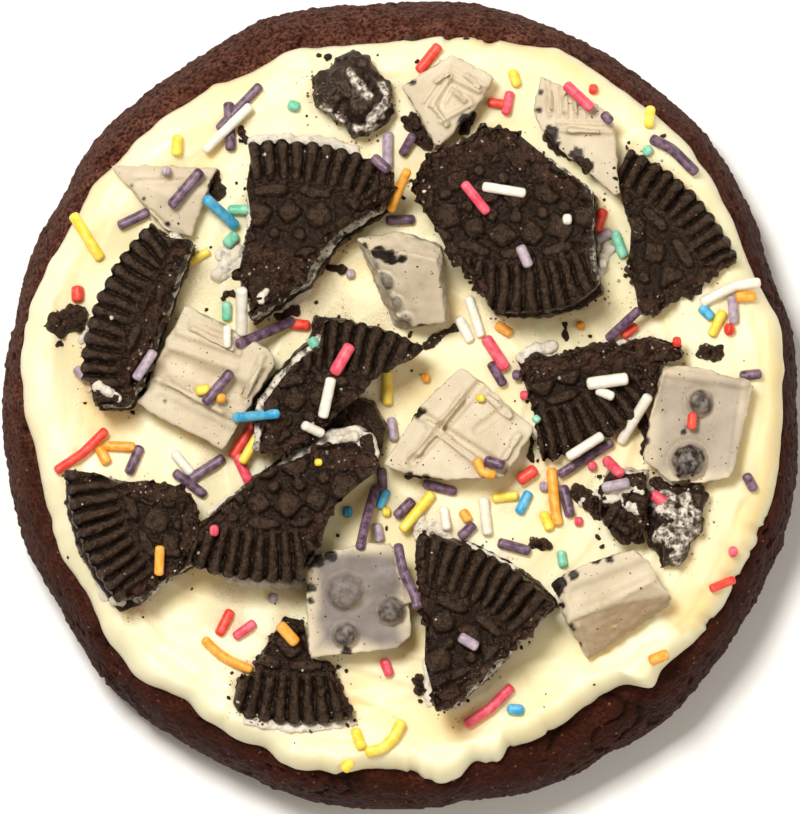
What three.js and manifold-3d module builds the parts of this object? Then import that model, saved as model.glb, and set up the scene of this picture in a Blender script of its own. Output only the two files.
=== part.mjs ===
// A cookies and cream cookie: a thick dark cookie with a craggy rim, a coat of pale frosting spread
// almost to its edge, and on it broken sandwich biscuits, white chunks with dark crumbs in them,
// and sprinkles. Millimetres, +Z up, +X to the right and +Y away as it lies on a table, origin under
// the middle.
import * as THREE from 'three';
import { mergeVertices } from 'three/addons/utils/BufferGeometryUtils.js';
import { ConvexGeometry } from 'three/addons/geometries/ConvexGeometry.js';
import Module from 'manifold-3d';

const wasm = await Module();
wasm.setup();

// Driving dimensions
const COOKIE_HEIGHT = 14;
const COOKIE_FOOT_INSET = 3.2;
const COOKIE_SEGMENTS = 64;
const COOKIE_CRAG = 0.16;
const FROSTING_THICK = 3.2;
const FROSTING_SEGMENTS = 48;
const FROSTING_EDGE_ROUND = 1.5;
const RIM_LEDGE = 0.3;
const RIM_LEAST = 0.6;
const BISCUIT_RADIUS = 22.2;
const WAFER_THICK = 3.1;
const CREME_THICK = 2.1;
const CREME_RADIUS = 20.6;
const RIB_COUNT = 90;
const RIB_HEIGHT = 0.5;
const RIB_INNER = 17.2;
const STUD_HEIGHT = 0.45;
const GAP = 0.3;
const LOWER_DETAIL = 0.9;
const SPRINKLE_RADIUS = 0.54;
const SPRINKLE_SIDES = 5;
const SPRINKLE_BEDDING = 0.12;

// Radii of the cookie's outline every 10 degrees, and of the frosting's every 7.5 degrees, from +X
const COOKIE_RADII = [
  41.0, 41.1, 40.8, 41.5, 42.1, 42.1, 42.3, 42.2, 42.3, 41.8, 41.9, 42.2,
  41.5, 41.7, 41.6, 41.0, 41.1, 40.7, 41.1, 41.0, 41.1, 40.8, 41.4, 41.4,
  41.2, 41.3, 41.6, 41.6, 41.3, 42.0, 41.8, 42.4, 42.1, 41.9, 41.8, 41.5,
];
const FROSTING_RADII = [
  39.3, 39.7, 39.7, 39.0, 39.3, 39.9, 40.2, 40.0, 40.1, 40.2, 39.3, 38.5,
  37.6, 37.7, 38.2, 37.8, 38.5, 38.3, 38.7, 38.8, 38.7, 39.0, 39.6, 39.3,
  38.7, 37.8, 37.6, 38.1, 37.8, 38.5, 38.9, 37.5, 37.8, 37.9, 38.4, 37.8,
  37.5, 38.6, 38.1, 37.0, 36.3, 36.5, 38.0, 38.7, 39.1, 39.0, 39.5, 39.6,
];
const DEGREE = Math.PI / 180;
const UP = new THREE.Vector3(0, 0, 1);

// Smooth closed curve of radii by angle, through evenly spaced values
function smoothRadius(radii, angle) {
  const at = ((angle / (2 * Math.PI)) % 1 + 1) % 1 * radii.length;
  const i = Math.floor(at);
  const t = at - i;
  const r = (k) => radii[(i + k + radii.length) % radii.length];
  return 0.5 * (2 * r(0) + (r(1) - r(-1)) * t + (2 * r(-1) - 5 * r(0) + 4 * r(1) - r(2)) * t * t
    + (3 * r(0) - r(-1) - 3 * r(1) + r(2)) * t * t * t);
}

function cookieRadius(angle) {
  return smoothRadius(COOKIE_RADII, angle);
}

function frostingRadius(angle) {
  return Math.min(smoothRadius(FROSTING_RADII, angle), cookieRadius(angle) - RIM_LEAST);
}

// Soft lumps of unit height: a sum of sines whose directions and phases come from a seed
function lumps(x, y, z, size, seed) {
  let sum = 0;
  for (let k = 0; k < 6; k += 1) {
    const a = seed * 1.7 + k * 2.399;
    const wave = (x * Math.cos(a) + y * Math.sin(a) + z * Math.cos(a * 1.3)) / size;
    sum += Math.sin(wave * (1 + 0.27 * k) * 2 * Math.PI + seed * (k + 1));
  }
  return sum / 3;
}

// A closed mesh as a solid, and a solid as a mesh again
function toSolid(geometry) {
  const plain = geometry.index ? geometry.toNonIndexed() : geometry.clone();
  plain.deleteAttribute('normal');
  plain.deleteAttribute('uv');
  const merged = mergeVertices(plain, 1e-4);
  return new wasm.Manifold(new wasm.Mesh({
    numProp: 3,
    vertProperties: new Float32Array(merged.attributes.position.array),
    triVerts: new Uint32Array(merged.index.array),
  }));
}

function toGeometry(solid) {
  const mesh = solid.getMesh();
  const geometry = new THREE.BufferGeometry();
  geometry.setAttribute('position', new THREE.BufferAttribute(mesh.vertProperties, 3));
  geometry.setIndex(new THREE.BufferAttribute(mesh.triVerts, 1));
  geometry.computeVertexNormals();
  return geometry;
}

function joined(solids) {
  return solids.reduce((sum, solid) => sum.add(solid));
}

// The biggest part of a solid, without the loose scraps that a cut leaves
function mainBody(solid) {
  return solid.decompose().sort((a, b) => b.volume() - a.volume())[0];
}

// A lathe turned about Z whose points are then moved by a function of angle, radius and height
function turned(profile, segments, move) {
  const lathe = new THREE.LatheGeometry(profile.map(([r, z]) => new THREE.Vector2(r, z)), segments);
  lathe.rotateX(Math.PI / 2);
  const place = lathe.attributes.position;
  const point = new THREE.Vector3();
  for (let i = 0; i < place.count; i += 1) {
    point.fromBufferAttribute(place, i);
    const angle = Math.round(Math.atan2(point.y, point.x) / (Math.PI / segments)) * (Math.PI / segments);
    const [r, z] = move(angle, Math.hypot(point.x, point.y), point.z);
    place.setXYZ(i, r * Math.cos(angle), r * Math.sin(angle), z);
  }
  return toSolid(lathe);
}

// Cookie: a flat foot, a bulging side, and a rounded craggy shoulder up to the level top
function makeCookie() {
  const [FOOT, SIDE, LEDGE] = [1, 1.7, 2];
  const FOOT_RISE = 1.2;
  const FOOT_BULGE = 1.1;
  const WIDEST = 5.2;
  const CRAG_SIZE = 7;
  const CRAG_SINK = 0.25;
  const SHOULDER_STEPS = 6;
  const profile = [[0, 0], [FOOT, 0], [SIDE, FOOT_RISE]];
  for (let i = 0; i <= SHOULDER_STEPS; i += 1) {
    profile.push([LEDGE, WIDEST + i * (COOKIE_HEIGHT - WIDEST) / SHOULDER_STEPS]);
  }
  profile.push([0, COOKIE_HEIGHT]);
  return turned(profile, COOKIE_SEGMENTS, (angle, r, z) => {
    const edge = cookieRadius(angle);
    const ledge = Math.min(frostingRadius(angle) + RIM_LEDGE, edge - RIM_LEAST / 2);
    if (r < 1e-6) return [0, z];
    if (r < FOOT + 0.1) return [edge - COOKIE_FOOT_INSET, 0];
    if (r < SIDE + 0.1) return [edge - FOOT_BULGE, z];
    const rise = (z - WIDEST) / (COOKIE_HEIGHT - WIDEST);
    if (rise > 0.999) return [ledge, COOKIE_HEIGHT];
    const slope = Math.max(rise, 0) * Math.PI / 2;
    const [x, y] = [edge * Math.cos(angle), edge * Math.sin(angle)];
    const crag = COOKIE_CRAG * Math.cos(slope) * lumps(x, y, z, CRAG_SIZE, 3);
    const out = ledge + (edge - ledge) * Math.cos(slope) + crag * Math.min(1, (edge - ledge) / 2);
    const up = WIDEST + (COOKIE_HEIGHT - WIDEST) * Math.sin(slope) - CRAG_SINK * Math.abs(crag);
    return [out, up];
  });
}

// Height of the frosting's spread top: soft lumps, and long knife ridges that deepen outwards
function frostingTop(x, y) {
  const LUMP_HEIGHT = 0.22;
  const LUMP_SIZE = 21;
  const KNIFE_PITCH = 9;
  const KNIFE_DEPTH = 0.28;
  const KNIFE_SWAY = 5;
  const KNIFE_FULL_AT = 40;
  const r = Math.hypot(x, y);
  const angle = Math.atan2(y, x);
  const sway = KNIFE_SWAY * Math.sin(angle * 2 + 0.6);
  const stroke = Math.sin((r + sway) * 2 * Math.PI / KNIFE_PITCH + angle * 2);
  return COOKIE_HEIGHT + FROSTING_THICK + LUMP_HEIGHT * lumps(x, y, 0, LUMP_SIZE, 5)
    + KNIFE_DEPTH * stroke * r / KNIFE_FULL_AT;
}

// Frosting: level below, where it lies on the cookie, a soft round edge, and the spread top
function makeFrosting() {
  const RINGS = 4;
  const SIDE_STEPS = 2;
  const EDGE_RISE = 0.97;
  const [SIDE, TOP] = [2, 2];
  const profile = [[0, 0]];
  for (let i = 0; i <= SIDE_STEPS; i += 1) profile.push([SIDE, i / SIDE_STEPS]);
  for (let i = RINGS - 1; i >= 0; i -= 1) profile.push([i / RINGS, TOP]);
  return turned(profile, FROSTING_SEGMENTS, (angle, r, z) => {
    const edge = frostingRadius(angle);
    const inner = edge - FROSTING_EDGE_ROUND;
    if (z > TOP - 0.5) {
      const at = r * inner;
      return [at, frostingTop(at * Math.cos(angle), at * Math.sin(angle))];
    }
    if (r < 1e-6) return [0, COOKIE_HEIGHT];
    const slope = z * Math.PI / 2;
    const thick = frostingTop(inner * Math.cos(angle), inner * Math.sin(angle)) - COOKIE_HEIGHT;
    const out = inner + FROSTING_EDGE_ROUND * Math.cos(slope);
    return [out, COOKIE_HEIGHT + EDGE_RISE * thick * Math.sin(slope)];
  });
}

// A sprinkle: a short rod with blunt ends between two points
function rod(from, to, radius) {
  const along = new THREE.Vector3().subVectors(to, from);
  const length = Math.max(along.length(), 2 * SPRINKLE_RADIUS) + 2 * (radius - SPRINKLE_RADIUS);
  const cylinder = new THREE.CylinderGeometry(radius, radius, length, SPRINKLE_SIDES, 1);
  cylinder.rotateZ(-Math.PI / 2);
  const heading = along.lengthSq() > 0.01 ? along.normalize() : new THREE.Vector3(1, 0, 0);
  const across = new THREE.Vector3().crossVectors(UP, heading).normalize();
  cylinder.applyMatrix4(new THREE.Matrix4().makeBasis(
    heading, across, new THREE.Vector3().crossVectors(heading, across)));
  cylinder.translate((from.x + to.x) / 2, (from.y + to.y) / 2, (from.z + to.z) / 2);
  return toSolid(cylinder);
}

// Rods whose ends [x, y, x, y, lift] lie on a surface, lift being how far they ride above it
function sprinkleRods(list, surface, grow = 0) {
  return list.map(([x0, y0, x1, y1, lift = 0]) => {
    const end = (x, y) => new THREE.Vector3(x, y, surface(x, y) + SPRINKLE_BEDDING + lift);
    return rod(end(x0, y0), end(x1, y1), SPRINKLE_RADIUS + grow);
  });
}

// Outline [x, y] points, counter-clockwise, as an upright prism from one height to another
function prism(outline, low, high) {
  const shape = new THREE.Shape(outline.map(([x, y]) => new THREE.Vector2(x, y)));
  const block = new THREE.ExtrudeGeometry(shape, { depth: high - low, bevelEnabled: false });
  block.translate(0, 0, low);
  return toSolid(block);
}

// The same outline moved outwards all round
function grown(outline, by) {
  const LEAST_BEND = 0.6;
  const outward = ([ax, ay], [bx, cy]) => {
    const length = Math.hypot(bx - ax, cy - ay);
    return [(cy - ay) / length, (ax - bx) / length];
  };
  return outline.map((point, i) => {
    const before = outward(outline.at(i - 1), point);
    const after = outward(point, outline[(i + 1) % outline.length]);
    const bend = Math.max(1 + before[0] * after[0] + before[1] * after[1], LEAST_BEND);
    return [0, 1].map((k) => point[k] + by * (before[k] + after[k]) / bend);
  });
}

function disc(radius, low, high, sides) {
  const cylinder = new THREE.CylinderGeometry(radius, radius, high - low, sides, 1);
  cylinder.rotateX(Math.PI / 2);
  cylinder.translate(0, 0, (low + high) / 2);
  return toSolid(cylinder);
}

// A low stud: a few-sided peak, stretched along its own direction, at a radius and angle
function stud(radius, angle, length, width, sides) {
  const SUNK = 0.4;
  const peak = new THREE.ConeGeometry(0.5, STUD_HEIGHT + SUNK, sides, 1);
  peak.rotateX(Math.PI / 2);
  peak.translate(0, 0, (STUD_HEIGHT - SUNK) / 2);
  peak.scale(length * (1 + SUNK / STUD_HEIGHT), width * (1 + SUNK / STUD_HEIGHT), 1);
  peak.translate(radius, 0, 0);
  peak.rotateZ(angle);
  return toSolid(peak);
}

// Whole embossed wafer, its face at height 0: a rim of radial ribs, then rings of lozenges and dots
function makeEmbossedWafer() {
  const RIB_STEPS = 2;
  const RIB_PROUD = 0.25;
  const rings = [
    { radius: 14.4, count: 16, length: 2.9, width: 2.3, sides: 4 },
    { radius: 10.6, count: 11, length: 2.3, width: 2.3, sides: 5 },
    { radius: 6.9, count: 7, length: 2.2, width: 3.6, sides: 4 },
    { radius: 3.0, count: 4, length: 1.9, width: 1.9, sides: 5 },
  ];
  const [CENTRE, RIB_START, RIB_CREST, RIM] = [0, 1, 2, 3];
  const profile = [[CENTRE, 0], [RIM, 0], [RIM, 1], [RIB_CREST, 1], [RIB_START, 1], [CENTRE, 1]];
  const wafer = turned(profile, RIB_COUNT * RIB_STEPS, (angle, ring, upper) => {
    const step = Math.round(angle / (2 * Math.PI) * RIB_COUNT * RIB_STEPS);
    const onRib = step % RIB_STEPS !== 0;
    const chord = onRib ? Math.cos(Math.PI / RIB_COUNT) : 1;
    if (ring < 0.5) return [0, upper ? 0 : -WAFER_THICK];
    if (ring < 1.5) return [RIB_INNER * chord, 0];
    if (ring < 2.5) return [RIB_INNER + 0.5, onRib ? RIB_HEIGHT : 0];
    if (upper < 0.5) return [BISCUIT_RADIUS * chord, -WAFER_THICK];
    return [BISCUIT_RADIUS + (onRib ? RIB_PROUD : 0), onRib ? RIB_HEIGHT * 0.8 : -0.15];
  });
  const studs = rings.flatMap(({ radius, count, length, width, sides }) => (
    Array.from({ length: count }, (_, i) => stud(radius, i * 2 * Math.PI / count, length, width, sides))
  ));
  return joined([wafer, ...studs]);
}

const DISC_SIDES = 36;
const embossedWafer = makeEmbossedWafer();
const plainWafer = disc(BISCUIT_RADIUS, -WAFER_THICK, 0, DISC_SIDES);
const cremeDisc = disc(CREME_RADIUS, -CREME_THICK, 0, DISC_SIDES);

// Tilted frame of a piece: its face is at height top over its middle and rises by slope per mm
function tiltedGroup(piece) {
  const group = new THREE.Group();
  group.position.set(piece.at[0], piece.at[1], piece.top);
  const facing = new THREE.Vector3(-piece.slope[0], -piece.slope[1], 1).normalize();
  group.quaternion.setFromUnitVectors(UP, facing);
  group.updateMatrixWorld(true);
  return group;
}

const inFrame = (outline, [x, y]) => outline.map(([px, py]) => [px - x, py - y]);
const rodsInFrame = (list, [x, y]) => list.map(([a, b, c, d, lift]) => [a - x, b - y, c - x, d - y, lift]);

// The same outline without the points that hardly stand out from the line past them
function simpler(outline, least) {
  return outline.filter((point, i) => {
    const [ax, ay] = outline.at(i - 1);
    const [bx, by] = outline[(i + 1) % outline.length];
    const area = (bx - ax) * (ay - point[1]) - (ax - point[0]) * (by - ay);
    return i % 2 === 0 || Math.abs(area) / Math.hypot(bx - ax, by - ay) > least;
  });
}

// A cut through all layers of a piece, along an outline
const cutThrough = (outline) => prism(outline, -20, 4);

// A broken piece of sandwich biscuit: the whole biscuit cut to its broken outline, layer by layer
function biscuitLayers(piece) {
  const cut = inFrame(piece.outline, piece.at);
  const lowerCut = simpler(piece.lower ? inFrame(piece.lower, piece.at) : cut, LOWER_DETAIL);
  const cremeCut = piece.creme ? inFrame(piece.creme, piece.at) : lowerCut;
  const [hubX, hubY] = [piece.hub[0] - piece.at[0], piece.hub[1] - piece.at[1]];
  const [slipX, slipY] = piece.slip ?? [0, 0];
  const layer = (whole, outline, share, z) => {
    const slipped = outline.map(([x, y]) => [x + share * slipX, y + share * slipY]);
    return whole.translate([hubX + share * slipX, hubY + share * slipY, z]).intersect(cutThrough(slipped));
  };
  const cremeTop = -WAFER_THICK - GAP;
  return [
    ['top', layer(embossedWafer.rotate([0, 0, piece.turn]), cut, 0, 0)],
    ['creme', layer(cremeDisc, cremeCut, 0.5, cremeTop)],
    ['under', layer(plainWafer, lowerCut, 1, cremeTop - CREME_THICK - GAP)],
  ].slice(0, piece.layers);
}

// The room a biscuit piece takes up with a gap all round
function biscuitRoom(piece) {
  const cut = inFrame(piece.outline, piece.at);
  const lowerCut = simpler(piece.lower ? inFrame(piece.lower, piece.at) : cut, LOWER_DETAIL);
  const [hubX, hubY] = [piece.hub[0] - piece.at[0], piece.hub[1] - piece.at[1]];
  const [slipX, slipY] = piece.slip ?? [0, 0];
  const ROOM_SIDES = 24;
  const RIB_ROOM = 0.6;
  const layerDepths = [WAFER_THICK, GAP + CREME_THICK, GAP + WAFER_THICK];
  const depth = layerDepths.slice(0, piece.layers).reduce((sum, thick) => sum + thick);
  const top = disc(BISCUIT_RADIUS + RIB_ROOM, -WAFER_THICK - GAP, RIB_HEIGHT + GAP, ROOM_SIDES)
    .translate([hubX, hubY, 0])
    .intersect(cutThrough(grown(cut, GAP)));
  if (piece.layers === 1) return top;
  const slipped = lowerCut.map(([x, y]) => [x + slipX, y + slipY]);
  const low = disc(BISCUIT_RADIUS + GAP, -depth - GAP, -WAFER_THICK, ROOM_SIDES)
    .translate([hubX + slipX, hubY + slipY, 0])
    .intersect(cutThrough(grown(slipped, GAP)));
  return top.add(low);
}

// A white chunk without its raised parts: the hull of its corner points [x, y, z]
function chunkBody(piece, grow) {
  const hull = new ConvexGeometry(
    piece.corners.map(([x, y, z]) => new THREE.Vector3(x - piece.at[0], y - piece.at[1], z)));
  hull.computeBoundingBox();
  const middle = hull.boundingBox.getCenter(new THREE.Vector3());
  const size = hull.boundingBox.getSize(new THREE.Vector3());
  const SPREAD = 2.6 * grow;
  hull.translate(-middle.x, -middle.y, -middle.z);
  hull.scale(1 + SPREAD / size.x, 1 + SPREAD / size.y, 1 + SPREAD / size.z);
  hull.translate(middle.x, middle.y, middle.z);
  return toSolid(hull);
}

// The raised bars [x, y, x, y, width] and round bumps [x, y, radius, height] of a white chunk
function chunkRelief(piece, grow) {
  const BAR_HEIGHT = 0.6;
  const bars = (piece.bars ?? []).map(([x0, y0, x1, y1, width]) => {
    const length = Math.hypot(x1 - x0, y1 - y0);
    const bar = new THREE.CylinderGeometry(0.5 + grow, 0.75 + grow, 2 * (BAR_HEIGHT + grow), 4, 1);
    bar.rotateY(Math.PI / 4);
    bar.rotateX(Math.PI / 2);
    bar.scale(length, width, 1);
    bar.rotateZ(Math.atan2(y1 - y0, x1 - x0));
    bar.translate((x0 + x1) / 2 - piece.at[0], (y0 + y1) / 2 - piece.at[1], 0);
    return toSolid(bar);
  });
  const bumps = (piece.bumps ?? []).map(([x, y, radius, height]) => {
    const bump = new THREE.SphereGeometry(radius + grow, 8, 5);
    bump.rotateX(Math.PI / 2);
    bump.scale(1, 1, height / radius);
    bump.translate(x - piece.at[0], y - piece.at[1], 0);
    return toSolid(bump);
  });
  return [...bars, ...bumps];
}

// A crumbly lump: radii by angle round its middle, a steep side and an uneven crown
function lumpBody(piece, grow) {
  const ROUGH = 0.45;
  const SEGMENTS = 16;
  const profile = [[0, 0], [0.85, 0], [1, 0.5], [0.85, 0.85], [0.45, 1], [0, 1.02]];
  return turned(profile, SEGMENTS, (angle, share, level) => {
    const radius = smoothRadius(piece.radii, angle) * share;
    const [x, y] = [radius * Math.cos(angle), radius * Math.sin(angle)];
    const rough = ROUGH * lumps(x, y, level * piece.thick, 3.4, piece.seed);
    const spread = share > 0 ? radius + rough + 1.2 * grow : 0;
    return [spread, (level - 1) * piece.thick + (level > 0.1 ? rough + grow : -grow)];
  });
}

// The sprinkles that lie on a piece, bedded a little in its face
function pieceSprinkles(piece, grow) {
  const FACE_LIFT = { biscuit: 0.7 * RIB_HEIGHT, chunk: 0.2, lump: 0 };
  return sprinkleRods(rodsInFrame(piece.sprinkles ?? [], piece.at), () => FACE_LIFT[piece.kind], grow);
}

function crumb([x, y, a, b, c, turn]) {
  const bit = new THREE.IcosahedronGeometry(1, 0);
  bit.scale(a, b, c);
  bit.rotateZ(turn * DEGREE);
  bit.translate(x, y, frostingTop(x, y) + 0.3 * c);
  return toSolid(bit);
}

// Level chunk corners: the same outline at the face and, drawn in a little, at the underside
function slab(outline, thick, draft = 0.12) {
  const cx = outline.reduce((s, p) => s + p[0], 0) / outline.length;
  const cy = outline.reduce((s, p) => s + p[1], 0) / outline.length;
  return outline.flatMap(([x, y]) => [
    [x, y, 0],
    [x + (cx - x) * draft, y + (cy - y) * draft, -thick],
  ]);
}

// Pieces in order of who lies over whom: each is cut clear of those before it
const PIECES = [
  {
    name: 'biscuit_lower_middle', kind: 'biscuit', layers: 3, at: [-11, -9.5], hub: [-12.8, 4.3], turn: 11,
    top: 25.6, slope: [0.02, 0.05], slip: [0.5, 0.7],
    outline: [[-20.9, -13], [-20, -11.6], [-17, -9.2], [-14.4, -6.9], [-12.3, -6], [-9.6, -5.1],
      [-8, -4.1], [-5, -3.6], [-3.3, -4.7], [-2.1, -5.5], [-2.4, -6.6], [-5, -8.6], [-7.5, -11],
      [-8.1, -14.4], [-9.5, -15], [-10.3, -17.9], [-12, -22], [-23, -20]].reverse(),
    lower: [[-20.6, -13], [-19.6, -11.6], [-16.6, -9.2], [-14, -6.9], [-12, -5.6], [-9.9, -4.4],
      [-8.4, -3.2], [-7.4, -2.4], [-6.2, -1], [-5.8, 0.2], [-4.9, 0.4], [-3.4, -0.6], [-2.8, -1.6],
      [-2.1, -3], [-2.6, -6.2], [-5.4, -9], [-7.9, -11.4], [-8.5, -14.4], [-9.9, -15.4],
      [-10.6, -17.9], [-12, -22], [-23, -20]].reverse(),
    creme: [[-20.4, -13.2], [-19.2, -12], [-16.4, -9.5], [-13.8, -7.2], [-12, -6], [-9.9, -4.7],
      [-7.6, -2.9], [-4.6, -2.4], [-3, -3.6], [-2.6, -5.4], [-3, -6.8], [-5.6, -9.2], [-8, -11.6],
      [-8.7, -14.4], [-10.1, -15.4], [-12.2, -21], [-20.4, -19.4]].reverse(),
    sprinkles: [[-8.5, -5.7, -8.3, -5.7], [-19.1, -12.7, -19.0, -12.7]],
  },
  {
    name: 'biscuit_middle', kind: 'biscuit', layers: 3, at: [-6.5, 2.6], hub: [-8.4, -13.4], turn: 40,
    top: 25.0, slope: [-0.05, 0.06], slip: [-0.7, 0.2],
    outline: [[-8.2, 6.2], [-7.4, 10.5], [4, 9.5], [2.5, 5.9], [1.2, 4.7], [-0.9, 4.1], [-2.6, 3],
      [-4.2, 1.1], [-6, -0.4], [-7.5, -1.7], [-9.5, -3.4], [-12.5, -4.8], [-14.4, -4.9], [-14.2, -2.8],
      [-14, 0.2], [-11.9, 3], [-10.2, 4.8]].reverse(),
    sprinkles: [[-5.3, 6, -6.6, 3.8], [-7.2, 2.6, -7.8, -0.6], [-16.3, -1.1, -13.4, -0.7, 0.9],
      [-9.6, -2.1, -8.5, -2.6]],
  },
  {
    name: 'biscuit_top_left', kind: 'biscuit', layers: 3, at: [-9.5, 20], hub: [-12, 5], turn: 4,
    top: 24.9, slope: [0.01, -0.06], slip: [0.2, -0.8],
    outline: [[-15.5, 29], [-15.4, 25.2], [-15.8, 22.8], [-15.3, 19.3], [-15.9, 17], [-16.7, 13.6],
      [-15.7, 12], [-15.3, 9.6], [-13.6, 10.6], [-12.2, 11.6], [-9.6, 13.3], [-8.8, 15.5],
      [-6.2, 18.2], [-3, 20.4], [-1.2, 21.2], [-0.6, 24.6], [-4, 29]],
    sprinkles: [],
  },
  {
    name: 'biscuit_top_right', kind: 'biscuit', layers: 3, at: [11.5, 19], hub: [12, 32], turn: 0,
    top: 25.5, slope: [0.03, -0.05], slip: [0.5, -0.3],
    outline: [[1.3, 22.8], [2.4, 20.3], [3.8, 18.2], [4.9, 16], [6.8, 14.2], [9, 11], [10, 8.5],
      [15, 8.5], [20.2, 12.3], [19.6, 14.6], [19.4, 17.2], [20, 20], [19.6, 22.3], [15.9, 24.9], [14, 26.6],
      [12, 28.3], [8.6, 29], [6, 27.1], [3.6, 26.6], [2.2, 25.2]],
    sprinkles: [[6.8, 22.7, 8.8, 20.3], [9.1, 22.6, 12.3, 22], [17.2, 19.2, 17.2, 19.4],
      [12.5, 16.2, 13.1, 14.8]],
  },
  {
    name: 'biscuit_right_wedge', kind: 'biscuit', layers: 1, at: [28, 17.6], hub: [14.3, 6.3], turn: 3,
    top: 19.6, slope: [0.03, -0.09],
    outline: [[24.2, 27.5], [22.4, 24.2], [22.9, 21], [23.8, 18.2], [23.5, 14.6], [24.2, 12],
      [24.6, 9.6], [26.4, 9.5], [28.2, 11.2], [31.5, 13], [36, 16.2], [34, 26]],
    sprinkles: [],
  },
  {
    name: 'biscuit_left', kind: 'biscuit', layers: 3, at: [-28, 9.2], hub: [-10.5, 2.5], turn: 30,
    top: 24.8, slope: [0.05, -0.03], slip: [0.2, -0.5],
    outline: [[-26.2, 19.5], [-24.2, 17.5], [-21.6, 17.2], [-22.7, 14.4], [-24.1, 10], [-25.1, 6.9],
      [-26.9, 2.4], [-28.3, 0.5], [-31.4, 0.2], [-31.9, 2.6], [-34.5, 3.4], [-34.5, 12],
      [-30, 18]].reverse(),
    sprinkles: [[-25.6, 5.3, -27.0, 3.2]],
  },
  {
    name: 'biscuit_bottom_middle', kind: 'biscuit', layers: 3, at: [7.5, -20.5], hub: [-0.8, -35.3], turn: 8,
    top: 25.3, slope: [0.03, 0.05], slip: [0.6, -0.1],
    outline: [[1.5, -15.2], [1.9, -18.6], [2.6, -22.7], [2.5, -26.2], [3.1, -28.5], [3.8, -31.3],
      [5.4, -30.9], [6.8, -29.2], [8.7, -27.8], [9.8, -26.2], [12, -24.2], [14, -22.3], [15.6, -20.4],
      [17, -17.6], [10, -11], [3, -11.5], [1.9, -13.7]],
    sprinkles: [[6.5, -23.8, 7.6, -24.5]],
  },
  {
    name: 'biscuit_lower_left', kind: 'biscuit', layers: 3, at: [-27.5, -13.2], hub: [-12.1, -5.5], turn: 62,
    top: 24.2, slope: [-0.04, -0.03], slip: [-0.1, -0.7],
    outline: [[-36, -6.4], [-33, -6.6], [-30.8, -6.9], [-28.8, -7.8], [-26, -7.5], [-24, -8],
      [-22.4, -8.2], [-20.8, -10], [-20.6, -13], [-21, -15.6], [-22.7, -16.6], [-24.5, -18],
      [-26.2, -19.4], [-28.4, -19.8], [-31, -21.5]].reverse(),
    sprinkles: [[-24.7, -14.8, -24.8, -16.8]],
  },
  {
    name: 'biscuit_right_middle', kind: 'biscuit', layers: 1, at: [19.5, 1], hub: [10.6, 16.2], turn: 22,
    top: 20.2, slope: [-0.02, 0.17],
    outline: [[12.5, 3.4], [13.2, 1.2], [13.8, -0.6], [14.2, -3.4], [15, -6.5], [17, -6.6],
      [21.2, -3.6], [24.6, -0.6], [26.1, 1.4], [26.8, 4.2], [29.2, 5.2], [28.6, 6.2], [25.8, 6.9],
      [22.5, 6.1], [19.5, 6], [16, 5], [13, 4.6]],
    sprinkles: [[19.8, 2.4, 22.5, 2.8], [20.9, 1.4, 21.6, 1.0]],
  },
  {
    name: 'biscuit_bottom_left', kind: 'biscuit', layers: 1, at: [-10.8, -28], hub: [-10.2, -10.3], turn: 2,
    top: 19.4, slope: [0.02, 0.07],
    outline: [[-12, -21.6], [-13.4, -24], [-15, -26.4], [-14.9, -27.4], [-16.7, -28], [-17.2, -30.4],
      [-15, -34], [-4.6, -34], [-5, -31], [-6.4, -28.3], [-7.1, -26.2], [-9.3, -26.2], [-9.9, -22]],
    sprinkles: [[-12.1, -22.7, -11, -24]],
  },
  {
    name: 'biscuit_right_broken', kind: 'biscuit', layers: 2, at: [23.4, -11], hub: [7, -4], turn: 50,
    top: 21.2, slope: [0.02, 0.35],
    outline: [[20.6, -11.7], [22.6, -14.5], [24.2, -14.3], [25.2, -13], [25.4, -8], [25.1, -7.4],
      [21.1, -7.9], [20.7, -9.6]],
    sprinkles: [[21.3, -8.5, 23.2, -8.2]],
  },
  {
    name: 'biscuit_top_lump', kind: 'lump', at: [-4.9, 32.2], top: 21.6, slope: [0.05, -0.04],
    thick: 5.2, seed: 5,
    radii: [4.4, 3.9, 3.7, 4.9, 3.9, 4.3, 4.1, 4, 3.3, 4.4, 4.7, 4.5],
  },
  {
    name: 'white_chunk_centre', kind: 'chunk', at: [6, -2], top: 21.4, slope: [0.02, -0.05],
    corners: slab([[6.2, 4.2], [8.6, 2.7], [13.9, -2.2], [12.4, -4.2], [10.9, -7.3], [5, -7.6],
      [0.2, -6.9], [-1.9, -6], [1.2, -1], [2.7, 1]], 5.2),
    bars: [[0.6, -6, 7.4, 2.2, 1], [1.9, -0.9, 8.6, -6.4, 1], [10.4, -6, 12.6, -2.2, 1],
      [8.4, 1.6, 12, -1.6, 1]],
    sprinkles: [[9.1, -5.6, 10.3, -5.9, 0.5], [7.9, -5.6, 9.4, -6.9]],
  },
  {
    name: 'white_chunk_left', kind: 'chunk', at: [-20, 3], top: 21.6, slope: [0.03, 0.06],
    corners: slab([[-22.2, 10.6], [-24.9, 5.2], [-27.2, 0.5], [-25.6, -0.8], [-22, -2.4],
      [-18.2, -4.6], [-16.9, -2.4], [-15.5, 0], [-12.8, 4.4], [-13.3, 5.8], [-14.6, 6.5],
      [-17.5, 8.2]], 5.4, 0.08),
    bars: [[-25, 3.2, -17.2, -1.2, 1.1], [-13.9, 4.8, -16.4, 0.6, 1], [-22.4, 8.6, -16.2, 5.6, 1]],
    sprinkles: [[-17.7, 3.2, -19.8, 0.8, 0.3], [-20.9, 1.7, -20.1, 1.7], [-17.8, 8, -17.7, 6.6],
      [-18.6, 0.9, -18.4, 0.9]],
  },
  {
    name: 'white_chunk_middle', kind: 'chunk', at: [1, 13], top: 25.4, slope: [0, 0],
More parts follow.
